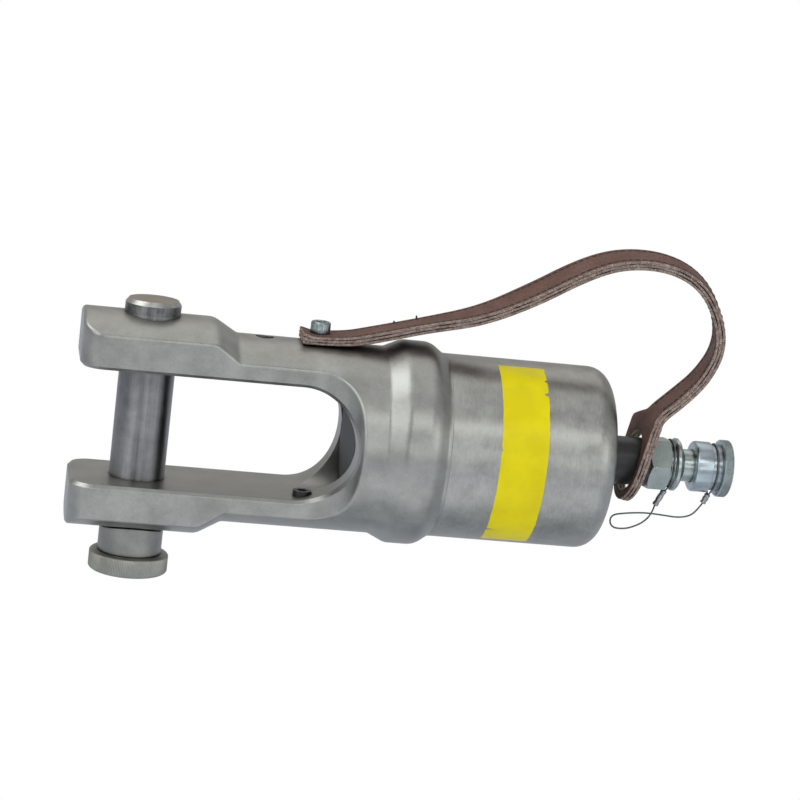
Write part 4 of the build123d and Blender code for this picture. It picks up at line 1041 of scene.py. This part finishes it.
def sew_strap():
    """Plies of leather, with rounded or open seams, stitch grooves and frayed rims."""
    spots, triangles, rims, inward = cut_pattern()
    grain, edge, lit_raw_rim = range(3)
    ply = (STRAP_THICKNESS - PLY_GAP * (STRAP_PLIES - 1)) / STRAP_PLIES
    rim_count = len(inward)
    points, faces, finish_of_face = [], [], []
    for layer in range(STRAP_PLIES):
        middle = (layer - (STRAP_PLIES - 1) / 2) * (ply + PLY_GAP)
        first = len(points)
        for way in (1, -1):
            shown = layer == (STRAP_PLIES - 1 if way == 1 else 0)
            for at, spot in enumerate(spots):
                height = middle + way * ply / 2
                if at < rim_count:
                    seam = Vector((spot.x * 0.09, spot.y * 0.09, 4.3 * (layer + (way == 1))))
                    worn = SEAM_OPEN[0] + SEAM_OPEN[1] * ramp(noise.noise(seam), -0.3, 0.3)
                    spot = spot + inward[at] * (EDGE_ROUND if shown else worn)
                elif shown and spot.x < tab_rows_at:
                    off = abs(abs(spot.y - middle_of_strap(spot.x)) - STITCH_LINE)
                    height -= way * STITCH_GROOVE_DEPTH * max(0.0, 1 - off / STITCH_GROOVE_HALF)
                points.append(on_strap(spot.x, spot.y, height))
        for corners in triangles:
            faces.append(tuple(first + corner for corner in corners))
            faces.append(tuple(first + len(spots) + corner for corner in reversed(corners)))
            finish_of_face += [grain, grain]
        rim_rows = len(points)
        for level in (0.3, -0.3):
            for at in range(rim_count):
                spot = spots[at]
                fibre = Vector((spot.x * 0.8, spot.y * 0.8, layer * 9.1 + level))
                spot = spot + inward[at] * (0.2 + FRAY * noise.noise(fibre))
                points.append(on_strap(spot.x, spot.y, middle + level * ply))
        start = 0
        for rim_at, rim in enumerate(rims):
            for at in range(len(rim)):
                a, b = start + at, start + (at + 1) % len(rim)
                rows = [
                    (first + a, first + b),
                    (rim_rows + a, rim_rows + b),
                    (rim_rows + rim_count + a, rim_rows + rim_count + b),
                    (first + len(spots) + a, first + len(spots) + b),
                ]
                for upper, lower in zip(rows, rows[1:]):
                    quad = (upper[1], upper[0], lower[0], lower[1])
                    faces.append(quad if rim_at == 0 else tuple(reversed(quad)))
                    # The hole's rim takes the paler raw hide: painted light
                    finish_of_face.append(lit_raw_rim if rim_at == 1 else edge)
            start += len(rim)
    finishes = [grain_leather, edge_leather, raw_leather_painted_light]
    made = make_piece("leather_strap", points, faces, finishes, 50.0, finish_of_face)
    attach(made, "head")
    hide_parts("carry_strap")


sew_strap()


def stitch_strap():
    """Rows of waxed stitches near both edges, on both faces, and two loose thread ends."""
    points, faces = [], []
    sections = (
        (-0.5, 0.3, -0.5), (-0.36, 0.9, -0.12), (0.0, 1.0, 0.1),
        (0.36, 0.9, -0.12), (0.5, 0.3, -0.5),
    )
    tapers = ((0.0, 0.7), (0.4, 0.66), (0.8, 0.6), (1.0, 0.3))
    ring_size = 8
    along = FIRST_STITCH
    while along < shoulder_at - STITCHES_STOP_BEFORE:
        for line in (middle_of_strap(along) - STITCH_LINE, middle_of_strap(along) + STITCH_LINE):
            for way in (1, -1):
                first = len(points)
                for share, size, sink in sections:
                    height = way * (STRAP_THICKNESS / 2 - STITCH_SUNK + sink * 0.5)
                    for angle in ring_angles(ring_size):
                        points.append(
                            on_strap(
                                along + share * STITCH_LENGTH,
                                line + STITCH_RADIUS * size * cos(angle),
                                height + STITCH_RADIUS * size * sin(angle),
                            )
                        )
                faces += capped_rings(len(sections), ring_size, first)
        along += STITCH_PITCH
    for along, length in THREAD_ENDS:
        first = len(points)
        for share, size in tapers:
            for angle in ring_angles(ring_size):
                points.append(
                    on_strap(
                        along + 0.5 * share + size * cos(angle),
                        middle_of_strap(along) + STITCH_LINE + size * sin(angle),
                        STRAP_THICKNESS / 2 - THREAD_END_SUNK + length * share,
                    )
                )
        faces += capped_rings(len(tapers), ring_size, first)
    made = make_piece("strap_stitching", points, faces, [waxed_thread], 60.0)
    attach(made, "head")


stitch_strap()


# Springs in the barrel and the nipple, wound from their seat to the end of the CAD spring
def wind_spring(node, joint, seat, travel, wire, diameter, turns):
    ring_size = 16
    steps = round(turns * 40)
    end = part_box(node)[1][0] / MM
    length = end - seat
    back = Vector((-1.0, 0.0, 0.0))
    points = []
    for step in range(steps + 1):
        angle = 2 * pi * turns * step / steps
        outward = Vector((0.0, cos(angle), sin(angle)))
        middle = outward * diameter / 2 - back * (seat + wire / 2 + (length - wire) * step / steps)
        for turn in ring_angles(ring_size):
            points.append(middle + (outward * cos(turn) + back * sin(turn)) * wire / 2)
    faces = capped_rings(steps + 1, ring_size)
    made = make_piece("wound_" + node, points, faces, [spring_steel])
    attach(made, "head")
    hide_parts(node)
    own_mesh(made)


for node, windings in SPRINGS.items():
    wind_spring(node, *windings)


def notch(turn, notches):
    """Depth of the notches in an edge of the label at an angle in degrees."""
    return max(depth * max(0.0, 1 - abs(turn - at) / half) for at, depth, half in notches)


# Label: a blank strip of film round the barrel's side, torn a little at its edges
def lay_label():
    rows, columns = 240, 16
    points = []
    for lift in (LABEL_THICKNESS, LABEL_UNDERSIDE):
        for row in range(rows + 1):
            turn = LABEL_BOTTOM + (LABEL_TOP - LABEL_BOTTOM) * row / rows
            start = LABEL_START + LABEL_WAVER * noise.noise(Vector((turn * 0.3, 0.0, 1.5)))
            end = LABEL_END + LABEL_WAVER * noise.noise(Vector((turn * 0.3, 0.0, 8.5)))
            start += notch(turn, LABEL_SLITS)
            end -= notch(turn, LABEL_TEARS)
            for column in range(columns + 1):
                along = start + (end - start) * column / columns
                reach = BARREL_RADIUS + lift
                points.append((along, -reach * cos(radians(turn)), reach * sin(radians(turn))))
    faces = []
    size = (rows + 1) * (columns + 1)
    for row in range(rows):
        for column in range(columns):
            a = row * (columns + 1) + column
            b = a + columns + 1
            faces.append((a, a + 1, b + 1, b))
            faces.append((size + b, size + b + 1, size + a + 1, size + a))
    border = [(row * (columns + 1), (row + 1) * (columns + 1)) for row in range(rows)]
    faces += [(a, b, size + b, size + a) for a, b in border]
    faces += [(b + columns, a + columns, size + a + columns, size + b + columns) for a, b in border]
    top = rows * (columns + 1)
    for column in range(columns):
        faces.append((column + 1, column, size + column, size + column + 1))
        faces.append((top + column, top + column + 1, size + top + column + 1, size + top + column))
    made = make_piece("plain_label", points, faces, [yellow_film], 40.0)
    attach(made, "head")


lay_label()


# Stage: a pale floor that the camera sees as plain white, a pale room and soft lights
def white_floor():
    corners = [
        (x * FLOOR_HALF, y * FLOOR_HALF, FLOOR_LEVEL)
        for x, y in ((-1, -1), (1, -1), (1, 1), (-1, 1))
    ]
    material, tree, shader = start_material(
        "matt_pale_floor",
        {"Roughness": 0.9, "Specular IOR Level": 0.1, "Base Color": linear("#caced6")},
    )
    seen = add(tree, "LightPath", {}, {}).outputs["Is Camera Ray"]
    glow = add(tree, "Emission", {"Color": linear("#ffffff")}, {}).outputs[0]
    either = add(tree, "MixShader", {}, {0: seen, 1: shader.outputs[0], 2: glow}).outputs[0]
    tree.links.new(either, tree.nodes["Material Output"].inputs["Surface"])
    made = make_piece("studio_floor", corners, [(0, 1, 2, 3)], [material])


white_floor()
world = bpy.data.worlds.new("studio_room")
scene.world = world
world.use_nodes = True
room = world.node_tree
seen = add(room, "LightPath", {}, {}).outputs["Is Camera Ray"]
shade = add(room, "MapRange", {3: ROOM_SHADE, 4: 1.0}, {0: seen}).outputs[0]
room.links.new(shade, room.nodes["Background"].inputs["Color"])

# Soft lights, fitted to the shading in the photograph: where each comes from, its strength and its
# width in degrees
SOFT_LIGHTS = {
    "window_light": ((-0.50, 0.05, 0.80), 0.92, 40.0),
    "left_light": ((-0.50, -0.62, 0.60), 0.37, 30.0),
    "low_left_light": ((-0.75, -0.62, 0.25), 0.41, 40.0),
    "front_light": ((0.05, -0.99, 0.05), 0.19, 16.0),
    "front_strip_light": ((0.15, -0.80, 0.58), 0.21, 14.0),
    "ceiling_light": ((0.05, -0.20, 0.97), 0.18, 45.0),
    "rear_ceiling_light": ((0.10, 0.50, 0.86), 0.33, 50.0),
    "right_light": ((0.90, -0.40, 0.12), 0.19, 40.0),
    "right_front_light": ((0.62, -0.75, 0.22), 0.45, 40.0),
}
for name, (source, strength, width) in SOFT_LIGHTS.items():
    lamp = bpy.data.objects.new(name, bpy.data.lights.new(name, "SUN"))
    lamp.data.energy = strength
    lamp.data.angle = radians(width)
    lamp.rotation_euler = (-Vector(source)).to_track_quat("-Z", "Y").to_euler()
    scene.collection.objects.link(lamp)

# Light that a white table throws back from in front of the part: its distance, size and power
TABLE_LIGHTS = {
    "near_table_light": (-0.275, 1.0, 0.25, 0.35),
    "far_table_light": (-0.55, 1.4, 0.30, 0.43),
}
for name, (distance, length, width, power) in TABLE_LIGHTS.items():
    lamp = bpy.data.objects.new(name, bpy.data.lights.new(name, "AREA"))
    lamp.data.shape = "RECTANGLE"
    lamp.data.size = length
    lamp.data.size_y = width
    lamp.data.energy = power
    lamp.location = (TABLE_LIGHT_X, distance, FLOOR_LEVEL * MM + TABLE_LIGHT_LIFT)
    lamp.rotation_euler = (pi, 0.0, 0.0)
    lamp.visible_camera = False
    scene.collection.objects.link(lamp)

scene.view_settings.view_transform = "Standard"
